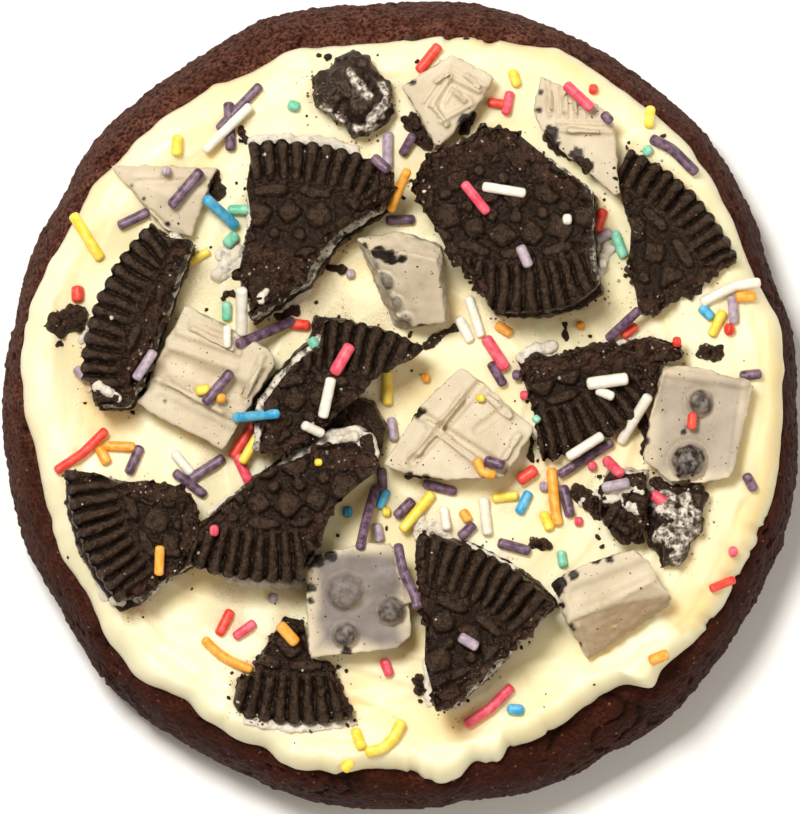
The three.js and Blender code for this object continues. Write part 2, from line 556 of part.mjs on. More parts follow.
    corners: [[-3.4, 16.3, 0], [0.4, 15.9, 0.3], [3.9, 15.1, 0], [-4.5, 17.4, -1.2], [0, 18.2, -1.8],
      [4.3, 16.4, -1.2], [1.4, 8.1, -3.6], [4.9, 8.7, -3.2], [-0.7, 8.1, -9], [5.3, 8.6, -9],
      [4.4, 16.6, -9], [-4.2, 17.2, -9], [-0.4, 9.4, -3.4]],
  },
  {
    name: 'white_chunk_top', kind: 'chunk', at: [5, 31.8], top: 21.2, slope: [-0.04, 0.03],
    corners: slab([[5.4, 36.3], [0.1, 33], [1.5, 30.8], [3.9, 26.5], [5.4, 28.4], [7.4, 30],
      [9.8, 33.9]], 4.9, 0.06),
    bars: [[3.2, 33.2, 5.4, 34.6, 0.8], [6.4, 34.4, 8.6, 32.6, 0.8], [3.2, 31.4, 5.2, 28.6, 0.8],
      [5.4, 32.6, 7, 31.2, 0.9]],
  },
  {
    name: 'white_chunk_top_right', kind: 'chunk', at: [18.4, 28.5], top: 20.8, slope: [0.06, -0.02],
    corners: slab([[14.4, 34.2], [20.3, 31.3], [21.9, 29.2], [22, 25.6], [22.8, 22], [22, 21.7],
      [18, 25.4], [15.8, 27], [14.2, 29], [13.5, 30.7]], 4.5, 0.08),
    bars: [[15.4, 33, 15.6, 30.2, 0.6], [16.7, 32.6, 16.9, 30, 0.6], [18, 31.9, 18.2, 29.8, 0.6],
      [16.6, 28.6, 21.2, 28.2, 0.7]],
    sprinkles: [[17.3, 32.9, 19.4, 31, 0.35], [21.1, 30, 21.5, 29.6]],
  },
  {
    name: 'white_chunk_top_left', kind: 'chunk', at: [-24, 22], top: 19.9, slope: [0.03, -0.02],
    corners: [[-30, 25, -0.5], [-18.7, 24.8, -0.2], [-19.9, 22, 0.4], [-21.4, 17.6, -0.8],
      [-23.8, 17.8, -1.4], [-25.8, 20.2, -0.2], [-29.6, 24.3, -0.4], [-24, 21.8, 0.5],
      [-28.6, 24.6, -3], [-19.3, 24.4, -3.2], [-21.6, 18.2, -3.2], [-23.6, 18.4, -3.2],
      [-20.4, 22, -3.2]],
    sprinkles: [[-20.9, 23.9, -23.4, 21, 0.1], [-24.1, 24.3, -24, 24.3]],
  },
  {
    name: 'white_chunk_right', kind: 'chunk', at: [30.6, -1.6], top: 20.6, slope: [-0.03, 0.03],
    corners: slab([[27.3, 4.4], [31, 4.1], [36, 2.8], [36.5, 2.1], [35, -3], [34.5, -6.6],
      [33.9, -7.5], [30.6, -7.9], [28, -7.7], [24.8, -5.6], [25.6, -2], [26.6, 3.2]], 4.5),
    bumps: [[30.9, 0.4, 1.6, 0.9], [29.7, -5.6, 2.1, 1.2]],
    sprinkles: [[29.6, -1.2, 29.6, -1.9]],
  },
  {
    name: 'white_chunk_bottom', kind: 'chunk', at: [-4.4, -19.8], top: 21.4, slope: [-0.02, 0.04],
    corners: slab([[-9.7, -15.2], [-6, -14.8], [-2.6, -13.9], [-0.9, -13.9], [0.4, -16.8],
      [1.2, -20.8], [1.3, -23.6], [-0.4, -25], [-4.2, -25.3], [-9.3, -26], [-9.7, -21]], 5.2),
    bumps: [[-5.6, -19, 2.1, 0.8], [-0.9, -21, 1.7, 1.1], [-5.5, -23.4, 1.5, 1]],
    sprinkles: [[-0.3, -14.6, 0.2, -17], [0.2, -17, 1.2, -20.2]],
  },
  {
    name: 'white_chunk_bottom_right', kind: 'chunk', at: [21.6, -20], top: 22, slope: [0, 0],
    corners: [[15.4, -18.2, -1.6], [17.2, -16.9, -0.4], [20.2, -15.7, 0], [24, -14.6, 0],
      [25.6, -15.9, 0.1], [28, -19.4, -0.8], [17.2, -22.1, -0.6], [21.4, -20.5, 0.2], [25.7, -18, 0.3],
      [27.9, -20.2, -2.6], [19.3, -26, -3.6], [23.2, -23.6, -3.6], [16, -19.6, -5.4],
      [19.6, -25.6, -5.4], [27, -20.8, -5.4], [24, -15, -5.4], [17, -17.4, -5.4]],
  },
  {
    name: 'biscuit_right_lump', kind: 'lump', at: [28.6, -12.4], top: 20.9, slope: [0.02, 0.02],
    thick: 4.8, seed: 2,
    radii: [2.7, 3.2, 4.7, 4.1, 4.4, 3.8, 3.3, 3.4, 4.4, 4.5, 2.7, 2.4],
    sprinkles: [[26.3, -9.2, 27, -9.8, 0.1]],
  },
];

// Crumbs stuck in the frosting: middle [x, y], half sizes and turn in degrees
const FROSTING_CRUMBS = [
  [-34.5, 8.7, 2, 1.4, 1.3, 10], [0.8, 37.1, 1.5, 1.1, 1.1, 20], [1.9, 28.4, 1.1, 2.1, 1.7, -30],
  [31.9, 5.7, 1.2, 0.9, 1.1, 0], [14.4, -14.1, 1.2, 0.8, 0.9, -30], [19.3, -9.7, 1.6, 1.2, 1.5, 40],
  [-16.2, 28, 1, 0.6, 0.6, 60], [2, -28.6, 0.7, 1.3, 0.7, 0],
];

// Sprinkles on the frosting: [x, y] of both ends, and how far one rides over what is under it
const FROSTING_SPRINKLES = [
  [-22.9, 27.6, -23, 26.4], [11.6, 34.3, 12, 33.4], [25.8, 30.5, 25.6, 29.2],
  [-33.2, 19.2, -31.1, 15.8], [-1.3, 3.3, -1.3, 0.7], [-14.7, -3, -16, -5.3, 0.5],
  [3, -9.3, 0.5, -12.3], [14.9, -11.2, 15.3, -12.3], [33.1, 9.4, 32.2, 7.8],
  [-4.6, -33.6, -4.1, -34.8], [-3.1, -35.4, -1, -34.4], [-1, -34.4, 0.1, -32.6],
  [0.6, 23.9, -0.8, 20.7], [-29.9, -4, -27.8, -4.1], [-30.8, -4.6, -30.4, -5.5],
  [15.6, -6.9, 16, -10.6], [-19.8, -24.2, -17.8, -26], [-17.8, -26, -15.8, -26.8],
  [26.1, -26, 27.2, -25.6], [36.1, 11.4, 35.1, 11.3], [3.7, 36.8, 2.3, 35], [9.5, 31.3, 10.3, 31.2],
  [-33.2, 12.1, -33.3, 11.3], [-35, -6.3, -32.8, -4.9], [-32.8, -4.9, -30.7, -2.9],
  [-10.6, 8.3, -8.7, 8.2], [-15.5, -2.4, -16.9, -4.3], [20.8, 19.9, 20.5, 18.9], [24, 8.2, 23.2, 7.6],
  [33.7, 8, 34.1, 8], [12.7, -7.3, 13.5, -6.7], [32.4, -18.6, 34, -18], [-17.7, -21.6, -18.4, -23],
  [11.2, 32, 10.9, 30.6], [9.1, 6.7, 10.6, 4.4], [-16.7, -5.5, -15.8, -7.2], [21.4, -5.7, 22.4, -6.7],
  [7.2, -32.3, 11.1, -29.2], [-15.4, -22.5, -16.6, -23.4], [-1.5, -26.5, -1.2, -27.2],
  [-14.8, 32.7, -18.3, 29], [-17.6, 30.9, -17.5, 26.9], [1.2, 27.6, 0.4, 26.4],
  [26.2, 27.5, 28.3, 26.4], [28.3, 26.4, 30.2, 24.5], [-28.6, 18.9, -27.5, 19.7],
  [-27.5, 19.7, -26.4, 20], [-16.3, 6.6, -11.4, 8.7], [-0.9, 19.2, 1, 19.3], [24.2, 9.6, 21.8, 7.4],
  [35.6, 3.2, 36.7, 3.4], [9.6, 4.1, 10.4, 2.7], [-26.9, -4.5, -27.2, -5.6],
  [-27.2, -5.6, -27.7, -6.5], [-22.8, -7, -20.5, -9.1], [-18.6, -5.5, -21.3, -7.1],
  [-2.6, -8.6, -4, -14], [-1.9, -6.8, -1.8, -8.1], [2.9, -8, 5.3, -8.6], [7.3, -12.4, 6.5, -13.1],
  [10.6, -14.1, 12.9, -14.7], [17.1, -6.4, 21.2, -4.1], [16.9, -8.6, 17.4, -10.8],
  [35.8, -7.4, 36.3, -8.2], [-1.3, 27.8, -1.3, 24.9], [34.2, 10.9, 34.4, 9.1], [20.6, 17.4, 21.4, 18],
  [-0.9, -1.6, -0.7, -3], [-2.4, -12.4, -2.2, -13.4], [-19.6, 21.1, -17.3, 19, 0.9],
  [-1.5, -9, -2, -9.9], [13.1, -9.2, 12.4, -10.5], [31.3, 10.1, 31.8, 9.5], [11.6, -31.1, 12.3, -31.2],
  [-17.2, 20.3, -15.6, 20.3], [-17.6, 17, -17.2, 17.5], [-17.8, 10.3, -17.8, 9.5],
  [22.2, 17.6, 22.9, 15.9], [16.6, -15.2, 16.8, -16.1], [-15.8, 30.6, -19.7, 26.8, 0.9],
  [-16.3, 11.9, -16.3, 8, 0.3], [17.8, -4.8, 20.6, -3.1, 0.7], [25, 0.7, 22.8, -2.7],
  [6.2, 8.8, 7.1, 7.1], [7.2, 10.9, 8.2, 7.8], [4.5, -10.8, 4.8, -12.2], [8.6, -9.8, 9, -12.7],
  [-23, -5, -21.8, -6.4], [36.6, 12.7, 33.5, 12], [33.5, 12, 31.5, 11], [26.4, 7.4, 30.1, 9.6],
];

const rgb = (r, g, b) => new THREE.Color().setRGB(r / 255, g / 255, b / 255, THREE.SRGBColorSpace);
const finish = (color, roughness) => new THREE.MeshStandardMaterial({ color, roughness, metalness: 0 });
const finishes = {
  cookie: () => finish(rgb(84, 48, 40), 0.9),
  frosting: () => finish(rgb(250, 240, 195), 0.55),
  wafer: () => finish(rgb(46, 38, 35), 0.8),
  creme: () => finish(rgb(240, 234, 218), 0.7),
  chunk: () => finish(rgb(226, 214, 192), 0.5),
};

function namedMesh(name, solid, material) {
  const mesh = new THREE.Mesh(toGeometry(solid), material);
  mesh.name = name;
  return mesh;
}

const cookie = new THREE.Group();
cookie.add(namedMesh('cookie_base', makeCookie(), finishes.cookie()));

// Solid in a tilted group's frame, moved to the whole cookie's frame and back
const toWhole = (solid, group) => solid.transform(group.matrixWorld.toArray());
const toPiece = (solid, group) => solid.transform(group.matrixWorld.clone().invert().toArray());

// What a piece is made of, by layer, with the sprinkles and relief fused to its first layer
function pieceLayers(piece) {
  const bodies = {
    biscuit: () => biscuitLayers(piece),
    chunk: () => [['', joined([chunkBody(piece, 0), ...chunkRelief(piece, 0)])]],
    lump: () => [['', lumpBody(piece, 0)]],
  }[piece.kind]();
  bodies[0][1] = joined([mainBody(bodies[0][1]), ...pieceSprinkles(piece, 0)]);
  return bodies;
}

// The room a piece needs: its body alone, and its raised parts
function pieceRoom(piece) {
  const body = {
    biscuit: () => biscuitRoom(piece),
    chunk: () => chunkBody(piece, GAP),
    lump: () => lumpBody(piece, GAP),
  }[piece.kind]();
  return { body, raised: [...chunkRelief(piece, GAP), ...pieceSprinkles(piece, GAP)] };
}

// Every piece is cut clear of the pieces laid before it
const rooms = [];
for (const piece of PIECES) {
  const group = tiltedGroup(piece);
  for (const [layer, shape] of pieceLayers(piece)) {
    let solid = toWhole(shape, group);
    for (const { body, raised } of rooms) {
      for (const other of [body, ...raised]) {
        if (solid.intersect(other).volume() > 0) solid = solid.subtract(other);
      }
    }
    const kind = piece.kind === 'chunk' ? 'chunk' : 'wafer';
    const material = finishes[layer === 'creme' ? 'creme' : kind]();
    const name = layer ? `${piece.name}_${layer}` : piece.name;
    group.add(namedMesh(name, toPiece(mainBody(solid), group), material));
  }
  cookie.add(group);
  const { body, raised } = pieceRoom(piece);
  rooms.push({ body: toWhole(body, group), raised: raised.map((solid) => toWhole(solid, group)) });
}

// The frosting and what is stuck in it, with a pocket for every piece
const spread = joined([
  makeFrosting(), ...FROSTING_CRUMBS.map(crumb), ...sprinkleRods(FROSTING_SPRINKLES, frostingTop)]);
const coat = rooms.reduce((rest, { body }) => rest.subtract(body), spread);
cookie.add(namedMesh('frosting', mainBody(coat), finishes.frosting()));

// The whole is centred over the origin
cookie.updateMatrixWorld(true);
const bounds = new THREE.Box3().setFromObject(cookie, true);
const whole = new THREE.Group();
cookie.position.set(-(bounds.min.x + bounds.max.x) / 2, -(bounds.min.y + bounds.max.y) / 2, 0);
whole.add(cookie);

export default whole;
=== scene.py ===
"""A cookies and cream cookie: a thick dark cookie, pale frosting, broken sandwich biscuits, white
chunks, sprinkles and crumbs. Places are measured in millimetres from the middle of the cookie."""
import math
from itertools import product

import bmesh
import bpy
import numpy as np
from mathutils import Matrix, Vector
from mathutils.bvhtree import BVHTree
from mathutils.kdtree import KDTree


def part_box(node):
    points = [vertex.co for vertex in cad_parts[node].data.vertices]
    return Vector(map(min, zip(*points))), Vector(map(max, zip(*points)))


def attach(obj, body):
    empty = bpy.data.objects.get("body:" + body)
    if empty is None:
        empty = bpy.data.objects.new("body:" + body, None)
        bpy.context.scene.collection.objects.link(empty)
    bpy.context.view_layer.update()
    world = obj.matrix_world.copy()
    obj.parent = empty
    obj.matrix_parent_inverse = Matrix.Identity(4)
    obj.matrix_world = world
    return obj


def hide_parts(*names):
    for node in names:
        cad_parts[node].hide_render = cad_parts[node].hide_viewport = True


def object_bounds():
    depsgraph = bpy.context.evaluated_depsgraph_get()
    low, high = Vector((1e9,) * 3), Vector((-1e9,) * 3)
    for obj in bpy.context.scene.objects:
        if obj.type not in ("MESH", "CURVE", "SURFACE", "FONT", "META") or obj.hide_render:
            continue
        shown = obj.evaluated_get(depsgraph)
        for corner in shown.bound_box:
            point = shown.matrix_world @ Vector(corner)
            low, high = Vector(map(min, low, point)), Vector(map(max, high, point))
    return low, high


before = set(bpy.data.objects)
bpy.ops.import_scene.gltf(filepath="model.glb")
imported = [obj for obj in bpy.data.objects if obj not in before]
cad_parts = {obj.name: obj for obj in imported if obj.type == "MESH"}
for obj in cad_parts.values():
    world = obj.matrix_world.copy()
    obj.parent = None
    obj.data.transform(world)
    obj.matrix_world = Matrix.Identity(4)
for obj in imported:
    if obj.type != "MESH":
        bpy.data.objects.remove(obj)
cad_box = [list(corner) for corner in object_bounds()]


# ---- Table, daylight and camera --------------------------------------------------------------
# The cookie lies on a plain pale table top. Soft daylight falls from the far left, and the camera
# looks straight down from well above it.

MILLIMETRE = 0.001
MEASURED_MIDDLE = np.array([0.0209, -0.1810, 0.0])
VIEW_HEIGHT = 814 * 0.103
CAMERA_UP = 6000
FOCUS_UP = 16
SENSOR = 36

camera_data = bpy.data.cameras.new("overhead_camera")
camera_data.sensor_width = SENSOR
camera_data.lens = SENSOR * (CAMERA_UP - FOCUS_UP) / VIEW_HEIGHT
camera = bpy.data.objects.new("overhead_camera", camera_data)
camera.location = (MEASURED_MIDDLE[0] * MILLIMETRE, MEASURED_MIDDLE[1] * MILLIMETRE, CAMERA_UP * MILLIMETRE)
bpy.context.collection.objects.link(camera)
bpy.context.scene.camera = camera
bpy.context.scene.view_settings.view_transform = "Standard"


def area_light(name, place, size, power, colour):
    """A square soft light in metres and watts, aimed at the cookie."""
    data = bpy.data.lights.new(name, "AREA")
    data.size = size
    data.energy = power
    data.color = colour
    light = bpy.data.objects.new(name, data)
    light.location = place
    light.rotation_euler = (-Vector(place)).to_track_quat("-Z", "Y").to_euler()
    bpy.context.collection.objects.link(light)


area_light("window", (-0.19, 0.29, 0.87), 0.22, 9.5, (1.0, 0.97, 0.93))
area_light("far_window", (0.45, -0.20, 0.75), 0.50, 1.8, (1.0, 0.93, 0.84))

daylight = bpy.data.worlds.new("daylight")
daylight.use_nodes = True
daylight.node_tree.nodes["Background"].inputs["Color"].default_value = (1.0, 0.89, 0.74, 1)
daylight.node_tree.nodes["Background"].inputs["Strength"].default_value = 0.27
bpy.context.scene.world = daylight

table_shape = bmesh.new()
bmesh.ops.create_grid(table_shape, x_segments=2, y_segments=2, size=1.5)
table_mesh = bpy.data.meshes.new("table_top")
table_shape.to_mesh(table_mesh)
table_shape.free()
table_top = bpy.data.objects.new("table_top", table_mesh)
bpy.context.collection.objects.link(table_top)
table_finish = bpy.data.materials.new("table_paint")
table_finish.use_nodes = True
table_finish.node_tree.nodes["Principled BSDF"].inputs["Base Color"].default_value = (0.93, 0.93, 0.92, 1)
table_finish.node_tree.nodes["Principled BSDF"].inputs["Roughness"].default_value = 0.7
table_mesh.materials.append(table_finish)


# ---- Baked cookie ----------------------------------------------------------------------------
# The base is one thick round of dark cookie dough, baked until its shoulder rounds off and its
# skin cracks into pits and crags. It lies flat on its foot and carries everything else.

COOKIE_HEIGHT = 14.0
COOKIE_RADII = [
    41.0, 41.1, 40.8, 41.5, 42.1, 42.1, 42.3, 42.2, 42.3, 41.8, 41.9, 42.2,
    41.5, 41.7, 41.6, 41.0, 41.1, 40.7, 41.1, 41.0, 41.1, 40.8, 41.4, 41.4,
    41.2, 41.3, 41.6, 41.6, 41.3, 42.0, 41.8, 42.4, 42.1, 41.9, 41.8, 41.5,
]
FROSTING_RADII = [
    39.3, 39.4, 39.5, 39.8, 40.1, 39.7, 39.3, 39.0, 38.9, 39.0, 39.3, 39.4, 39.8, 40.0, 40.2,
    40.1, 40.0, 39.9, 40.0, 40.0, 40.1, 40.3, 40.3, 39.9, 39.6, 39.3, 39.0, 38.6, 38.2, 37.9,
    37.6, 37.5, 37.6, 37.7, 37.8, 38.2, 38.3, 37.8, 37.8, 38.0, 38.5, 38.1, 38.2, 38.4, 38.5,
    38.7, 38.6, 38.6, 38.9, 38.7, 38.7, 38.6, 38.7, 38.9, 39.3, 39.6, 39.4, 39.3, 39.3, 39.0,
    38.7, 38.4, 38.0, 37.7, 37.5, 37.6, 37.7, 38.0, 38.3, 38.0, 37.7, 37.9, 38.3, 38.5, 38.5,
    38.9, 38.7, 38.1, 37.5, 37.8, 37.8, 38.0, 38.0, 37.8, 38.7, 38.8, 38.2, 38.3, 37.6, 37.5,
    37.5, 38.2, 39.0, 38.8, 37.3, 38.1, 37.1, 37.0, 37.0, 36.5, 36.3, 36.1, 36.3, 36.7, 38.7,
    38.3, 38.4, 38.6, 39.1, 39.3, 39.1, 38.9, 39.0, 39.2, 39.3, 39.5, 39.6, 39.6, 39.5, 39.4,
]
QUARTER = math.pi / 2


def curve_radius(radii, angle):
    """Smooth closed curve through radii that are spaced evenly by angle."""
    values = np.asarray(radii)
    at = (np.asarray(angle) / (2 * math.pi)) % 1 * len(values)
    first = np.floor(at).astype(int)
    t = at - first
    a, b, c, d = (values[(first + k) % len(values)] for k in (-1, 0, 1, 2))
    return 0.5 * (2 * b + (c - a) * t + (2 * a - 5 * b + 4 * c - d) * t**2 + (3 * b - a - 3 * c + d) * t**3)


def frosting_edge(angle):
    return np.minimum(curve_radius(FROSTING_RADII, angle), curve_radius(COOKIE_RADII, angle) - 0.5)


def scatter_number(cells, seed):
    """A fixed random number from -1 to 1 for each whole-numbered cell."""
    x, y, z = (cells[:, k].astype(np.int64) for k in range(3))
    mixed = (x * 73856093) ^ (y * 19349663) ^ (z * 83492791) ^ (seed * 668265263)
    mixed = ((mixed ^ (mixed >> 13)) * 1274126177) & 0x7FFFFFFF
    mixed = ((mixed ^ (mixed >> 15)) * 1103515245) & 0x7FFFFFFF
    return ((mixed >> 7) & 0xFFFF) / 32767.5 - 1


def tumbled(points, seed):
    """Points turned by a fixed random amount, so that a pattern's grid doesn't show."""
    turn = Matrix.Rotation(seed * 1.3 + 0.4, 3, Vector((0.36, 0.48, 0.8)))
    return points @ np.array(turn).T + seed * 17.31


def ripple(points, size, seed):
    """Smooth unevenness from -1 to 1 with lumps of a size in millimetres."""
    spread = tumbled(points, seed) / size
    corner = np.floor(spread)
    t = spread - corner
    t = t * t * (3 - 2 * t)
    total = np.zeros(len(points))
    for step in product((0, 1), repeat=3):
        share = np.prod(np.where(step, t, 1 - t), axis=1)
        total += share * scatter_number(corner + step, seed)
    return total


def crumble(points, size, seed):
    """Distance to the nearest of scattered grains, 0 at a grain and about 1 between them."""
    spread = tumbled(points, seed) / size
    corner = np.floor(spread)
    nearest = np.full(len(points), 9.0)
    for step in product((-1, 0, 1), repeat=3):
        cell = corner + step
        grain = cell + 0.5 + 0.45 * np.stack([scatter_number(cell, seed + k) for k in (1, 2, 3)], axis=1)
        nearest = np.minimum(nearest, ((grain - spread) ** 2).sum(axis=1))
    return np.sqrt(nearest)


def fade(value, low, high):
    """0 below low, 1 above high, smooth between."""
    t = np.clip((value - low) / (high - low), 0, 1)
    return t * t * (3 - 2 * t)


def points_of(mesh):
    flat = np.empty(len(mesh.vertices) * 3)
    mesh.vertices.foreach_get("co", flat)
    return flat.reshape(-1, 3)


def facings_of(mesh):
    flat = np.empty(len(mesh.vertices) * 3)
    mesh.vertices.foreach_get("normal", flat)
    return flat.reshape(-1, 3)


def move_points(mesh, points):
    mesh.vertices.foreach_set("co", np.ascontiguousarray(points).ravel())
    mesh.update()


def note(mesh, name, values):
    """A number at each point of a mesh, for its material."""
    mark = mesh.attributes.new(name, "FLOAT", "POINT")
    mark.data.foreach_set("value", np.clip(values, 0, 1).astype(np.float32))


def turned(name, steps, rings, section):
    """A closed turned shape: section(angle, ring) gives the radius and height of its points."""
    work = bmesh.new()
    bmesh.ops.create_uvsphere(work, u_segments=steps, v_segments=rings, radius=1.0)
    mesh = bpy.data.meshes.new(name)
    work.to_mesh(mesh)
    work.free()
    ball = points_of(mesh)
    ring = np.round(np.arccos(np.clip(-ball[:, 2], -1, 1)) / math.pi * rings)
    angle = np.arctan2(ball[:, 1], ball[:, 0])
    radius, height = section(angle, ring)
    move_points(mesh, np.stack([radius * np.cos(angle), radius * np.sin(angle), height], axis=1))
    return mesh, angle, ring


surfaces = []


def lay(name, mesh, material, node=None, rests=True):
    """Puts a finished mesh in millimetres on the cookie, in place of a CAD node if it has one."""
    points = points_of(mesh)
    if rests:
        faces = [tuple(face.vertices) for face in mesh.polygons]
        surfaces.append(BVHTree.FromPolygons(points.tolist(), faces))
    move_points(mesh, (points + MEASURED_MIDDLE) * MILLIMETRE)
    mesh.shade_smooth()
    mesh.materials.append(material)
    piece = bpy.data.objects.new(name, mesh)
    bpy.context.collection.objects.link(piece)
    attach(piece, "root")
    if node:
        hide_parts(node)
    return piece


def new_finish(name, **values):
    """A material with its shader's fixed values; returns it, its nodes' maker and its linker."""
    material = bpy.data.materials.new(name)
    material.use_nodes = True
    tree = material.node_tree
    shader = tree.nodes["Principled BSDF"]
    for socket, value in values.items():
        shader.inputs[socket.replace("_", " ")].default_value = value
    return material, tree, shader


def add_node(tree, kind, settings=None, **inputs):
    """A shader node with its settings, its inputs set to values or linked to sockets."""
    made = tree.nodes.new("ShaderNode" + kind)
    for key, value in (settings or {}).items():
        setattr(made, key, value)
    for key, value in inputs.items():
        socket = made.inputs[int(key[1:])] if key[0] == "i" and key[1:].isdigit() else made.inputs[key.replace("_", " ")]
        if isinstance(value, bpy.types.NodeSocket):
            tree.links.new(value, socket)
        else:
            socket.default_value = value
    return made


def blend_colours(tree, share, first, second):
    """One colour laid over another by a share from 0 to 1."""
    made = add_node(tree, "Mix", {"data_type": "RGBA"})
    for socket, value in ((made.inputs[0], share), (made.inputs[6], first), (made.inputs[7], second)):
        if isinstance(value, bpy.types.NodeSocket):
            tree.links.new(value, socket)
        else:
            socket.default_value = value
    return made.outputs[2]


def mathed(tree, operation, first, second=0.0, clamp=False):
    return add_node(tree, "Math", {"operation": operation, "use_clamp": clamp}, i0=first, i1=second).outputs[0]


def marked(tree, name):
    return add_node(tree, "Attribute", {"attribute_name": name}).outputs["Fac"]


def make_mottle_group():
    """Cloudy unevenness of a size in millimetres, from 0 to 1, steeper with more contrast."""
    group = bpy.data.node_groups.new("mottle", "ShaderNodeTree")
    for name, value in (("Size", 1.0), ("Contrast", 1.0)):
        group.interface.new_socket(name, in_out="INPUT", socket_type="NodeSocketFloat").default_value = value
    group.interface.new_socket("Share", in_out="OUTPUT", socket_type="NodeSocketFloat")
    ends = group.nodes.new("NodeGroupInput"), group.nodes.new("NodeGroupOutput")
    place = add_node(group, "TexCoord").outputs["Object"]
    scale = mathed(group, "DIVIDE", 1000.0, ends[0].outputs["Size"])
    clouds = add_node(group, "TexNoise", None, Vector=place, Scale=scale, Detail=4.0, Roughness=0.6)
    swing = mathed(group, "MULTIPLY", mathed(group, "SUBTRACT", clouds.outputs["Fac"], 0.5), ends[0].outputs["Contrast"])
    group.links.new(mathed(group, "ADD", swing, 0.5, True), ends[1].inputs["Share"])
    return group


def make_speck_group():
    """Scattered specks: one in each cell of a spacing in millimetres, of uneven size."""
    group = bpy.data.node_groups.new("specks", "ShaderNodeTree")
    for name, value in (("Spacing", 1.0), ("Size", 0.3)):
        group.interface.new_socket(name, in_out="INPUT", socket_type="NodeSocketFloat").default_value = value
    group.interface.new_socket("Share", in_out="OUTPUT", socket_type="NodeSocketFloat")
    ends = group.nodes.new("NodeGroupInput"), group.nodes.new("NodeGroupOutput")
    place = add_node(group, "TexCoord").outputs["Object"]
    scale = mathed(group, "DIVIDE", 1000.0, ends[0].outputs["Spacing"])
    shake = add_node(group, "TexNoise", None, Vector=place, Scale=mathed(group, "MULTIPLY", scale, 3.0), Detail=1.0).outputs["Color"]
    shake = add_node(group, "VectorMath", {"operation": "SUBTRACT"}, i0=shake, i1=(0.5, 0.5, 0.5)).outputs[0]
    reach = mathed(group, "MULTIPLY", ends[0].outputs["Spacing"], 0.4 * MILLIMETRE)
    shake = add_node(group, "VectorMath", {"operation": "SCALE"}, i0=shake, Scale=reach).outputs[0]
    ragged = add_node(group, "VectorMath", {"operation": "ADD"}, i0=place, i1=shake).outputs[0]
    cells = add_node(group, "TexVoronoi", None, Vector=ragged, Scale=scale, Randomness=1.0)
    own = add_node(group, "SeparateColor", None, Color=cells.outputs["Color"]).outputs[0]
    reach = mathed(group, "MULTIPLY", mathed(group, "MULTIPLY", own, own), ends[0].outputs["Size"])
    inside = mathed(group, "MULTIPLY", mathed(group, "SUBTRACT", reach, cells.outputs["Distance"]), 14.0, True)
    group.links.new(inside, ends[1].inputs["Share"])
    return group


def make_grain_group():
    """Fine bumps of a size and depth in millimetres over a rougher normal."""
    group = bpy.data.node_groups.new("grain", "ShaderNodeTree")
    for name, value in (("Size", 0.3), ("Depth", 0.05)):
        group.interface.new_socket(name, in_out="INPUT", socket_type="NodeSocketFloat").default_value = value
    group.interface.new_socket("Normal", in_out="OUTPUT", socket_type="NodeSocketVector")
    ends = group.nodes.new("NodeGroupInput"), group.nodes.new("NodeGroupOutput")
    place = add_node(group, "TexCoord").outputs["Object"]
    scale = mathed(group, "DIVIDE", 1000.0, ends[0].outputs["Size"])
    bumps = add_node(group, "TexNoise", None, Vector=place, Scale=scale, Detail=3.0, Roughness=0.65)
    deep = mathed(group, "MULTIPLY", ends[0].outputs["Depth"], MILLIMETRE)
    bump = add_node(group, "Bump", None, Strength=1.0, Distance=deep, Height=bumps.outputs["Fac"])
    group.links.new(bump.outputs["Normal"], ends[1].inputs["Normal"])
    return group


MOTTLE, SPECKS, GRAIN = make_mottle_group(), make_speck_group(), make_grain_group()


def grouped(tree, group, **values):
    made = tree.nodes.new("ShaderNodeGroup")
    made.node_tree = group
    for name, value in values.items():
        made.inputs[name].default_value = value
    return made.outputs[0]


def baked_finish():
    material, tree, shader = new_finish("baked_cookie", Roughness=0.6, Specular_IOR_Level=0.07,
                                        Specular_Tint=(1.0, 0.72, 0.55, 1))
    crust = blend_colours(tree, grouped(tree, MOTTLE, Size=3.2, Contrast=3.0), (0.027, 0.0070, 0.0040, 1), (0.080, 0.0215, 0.0125, 1))
    # Painted light: the crust is lighter towards the upper left, the side the window light falls from.
    pale = blend_colours(tree, grouped(tree, MOTTLE, Size=2.2, Contrast=3.0), (0.105, 0.0360, 0.0220, 1), (0.230, 0.0960, 0.0640, 1))
    crust = blend_colours(tree, marked(tree, "painted_light_upper_left"), crust, pale)
    crust = blend_colours(tree, grouped(tree, MOTTLE, Size=0.42, Contrast=6.0), crust, (0.036, 0.0095, 0.0060, 1))
    # Painted shade: pits and cracks are darkened almost to black.
    crust = blend_colours(tree, marked(tree, "shade_in_pits_and_cracks"), crust, (0.012, 0.004, 0.003, 1))
    crust = blend_colours(tree, grouped(tree, SPECKS, Spacing=0.8, Size=0.24), crust, (0.210, 0.090, 0.060, 1))
    tree.links.new(crust, shader.inputs["Base Color"])
    tree.links.new(grouped(tree, GRAIN, Size=0.42, Depth=0.50), shader.inputs["Normal"])
    return material


FOOT, BELLY, LEDGE_RING, COOKIE_RINGS = 6, 20, 74, 84


def cookie_section(angle, ring):
    edge = curve_radius(COOKIE_RADII, angle)
    ledge = np.minimum(frosting_edge(angle) - 0.4, edge - 0.3)
    foot = np.clip((ring - 1) / (FOOT - 1), 0, 1) * QUARTER
    belly = np.clip((ring - FOOT) / (BELLY - FOOT), 0, 1)
    shoulder = np.clip((ring - BELLY) / (LEDGE_RING - BELLY), 0, 1) * QUARTER
    under = np.clip((ring - LEDGE_RING) / (COOKIE_RINGS - LEDGE_RING), 0, 1)
    radius = edge - 3.2 + 2.1 * np.sin(foot) + 1.1 * np.sin(belly * QUARTER)
    radius = (radius - (edge - ledge) * (1 - np.cos(shoulder))) * (1 - under) * np.minimum(ring, 1)
    height = 1.2 * (1 - np.cos(foot)) + 4 * belly + (COOKIE_HEIGHT - 5.2) * np.sin(shoulder)
    return radius, height


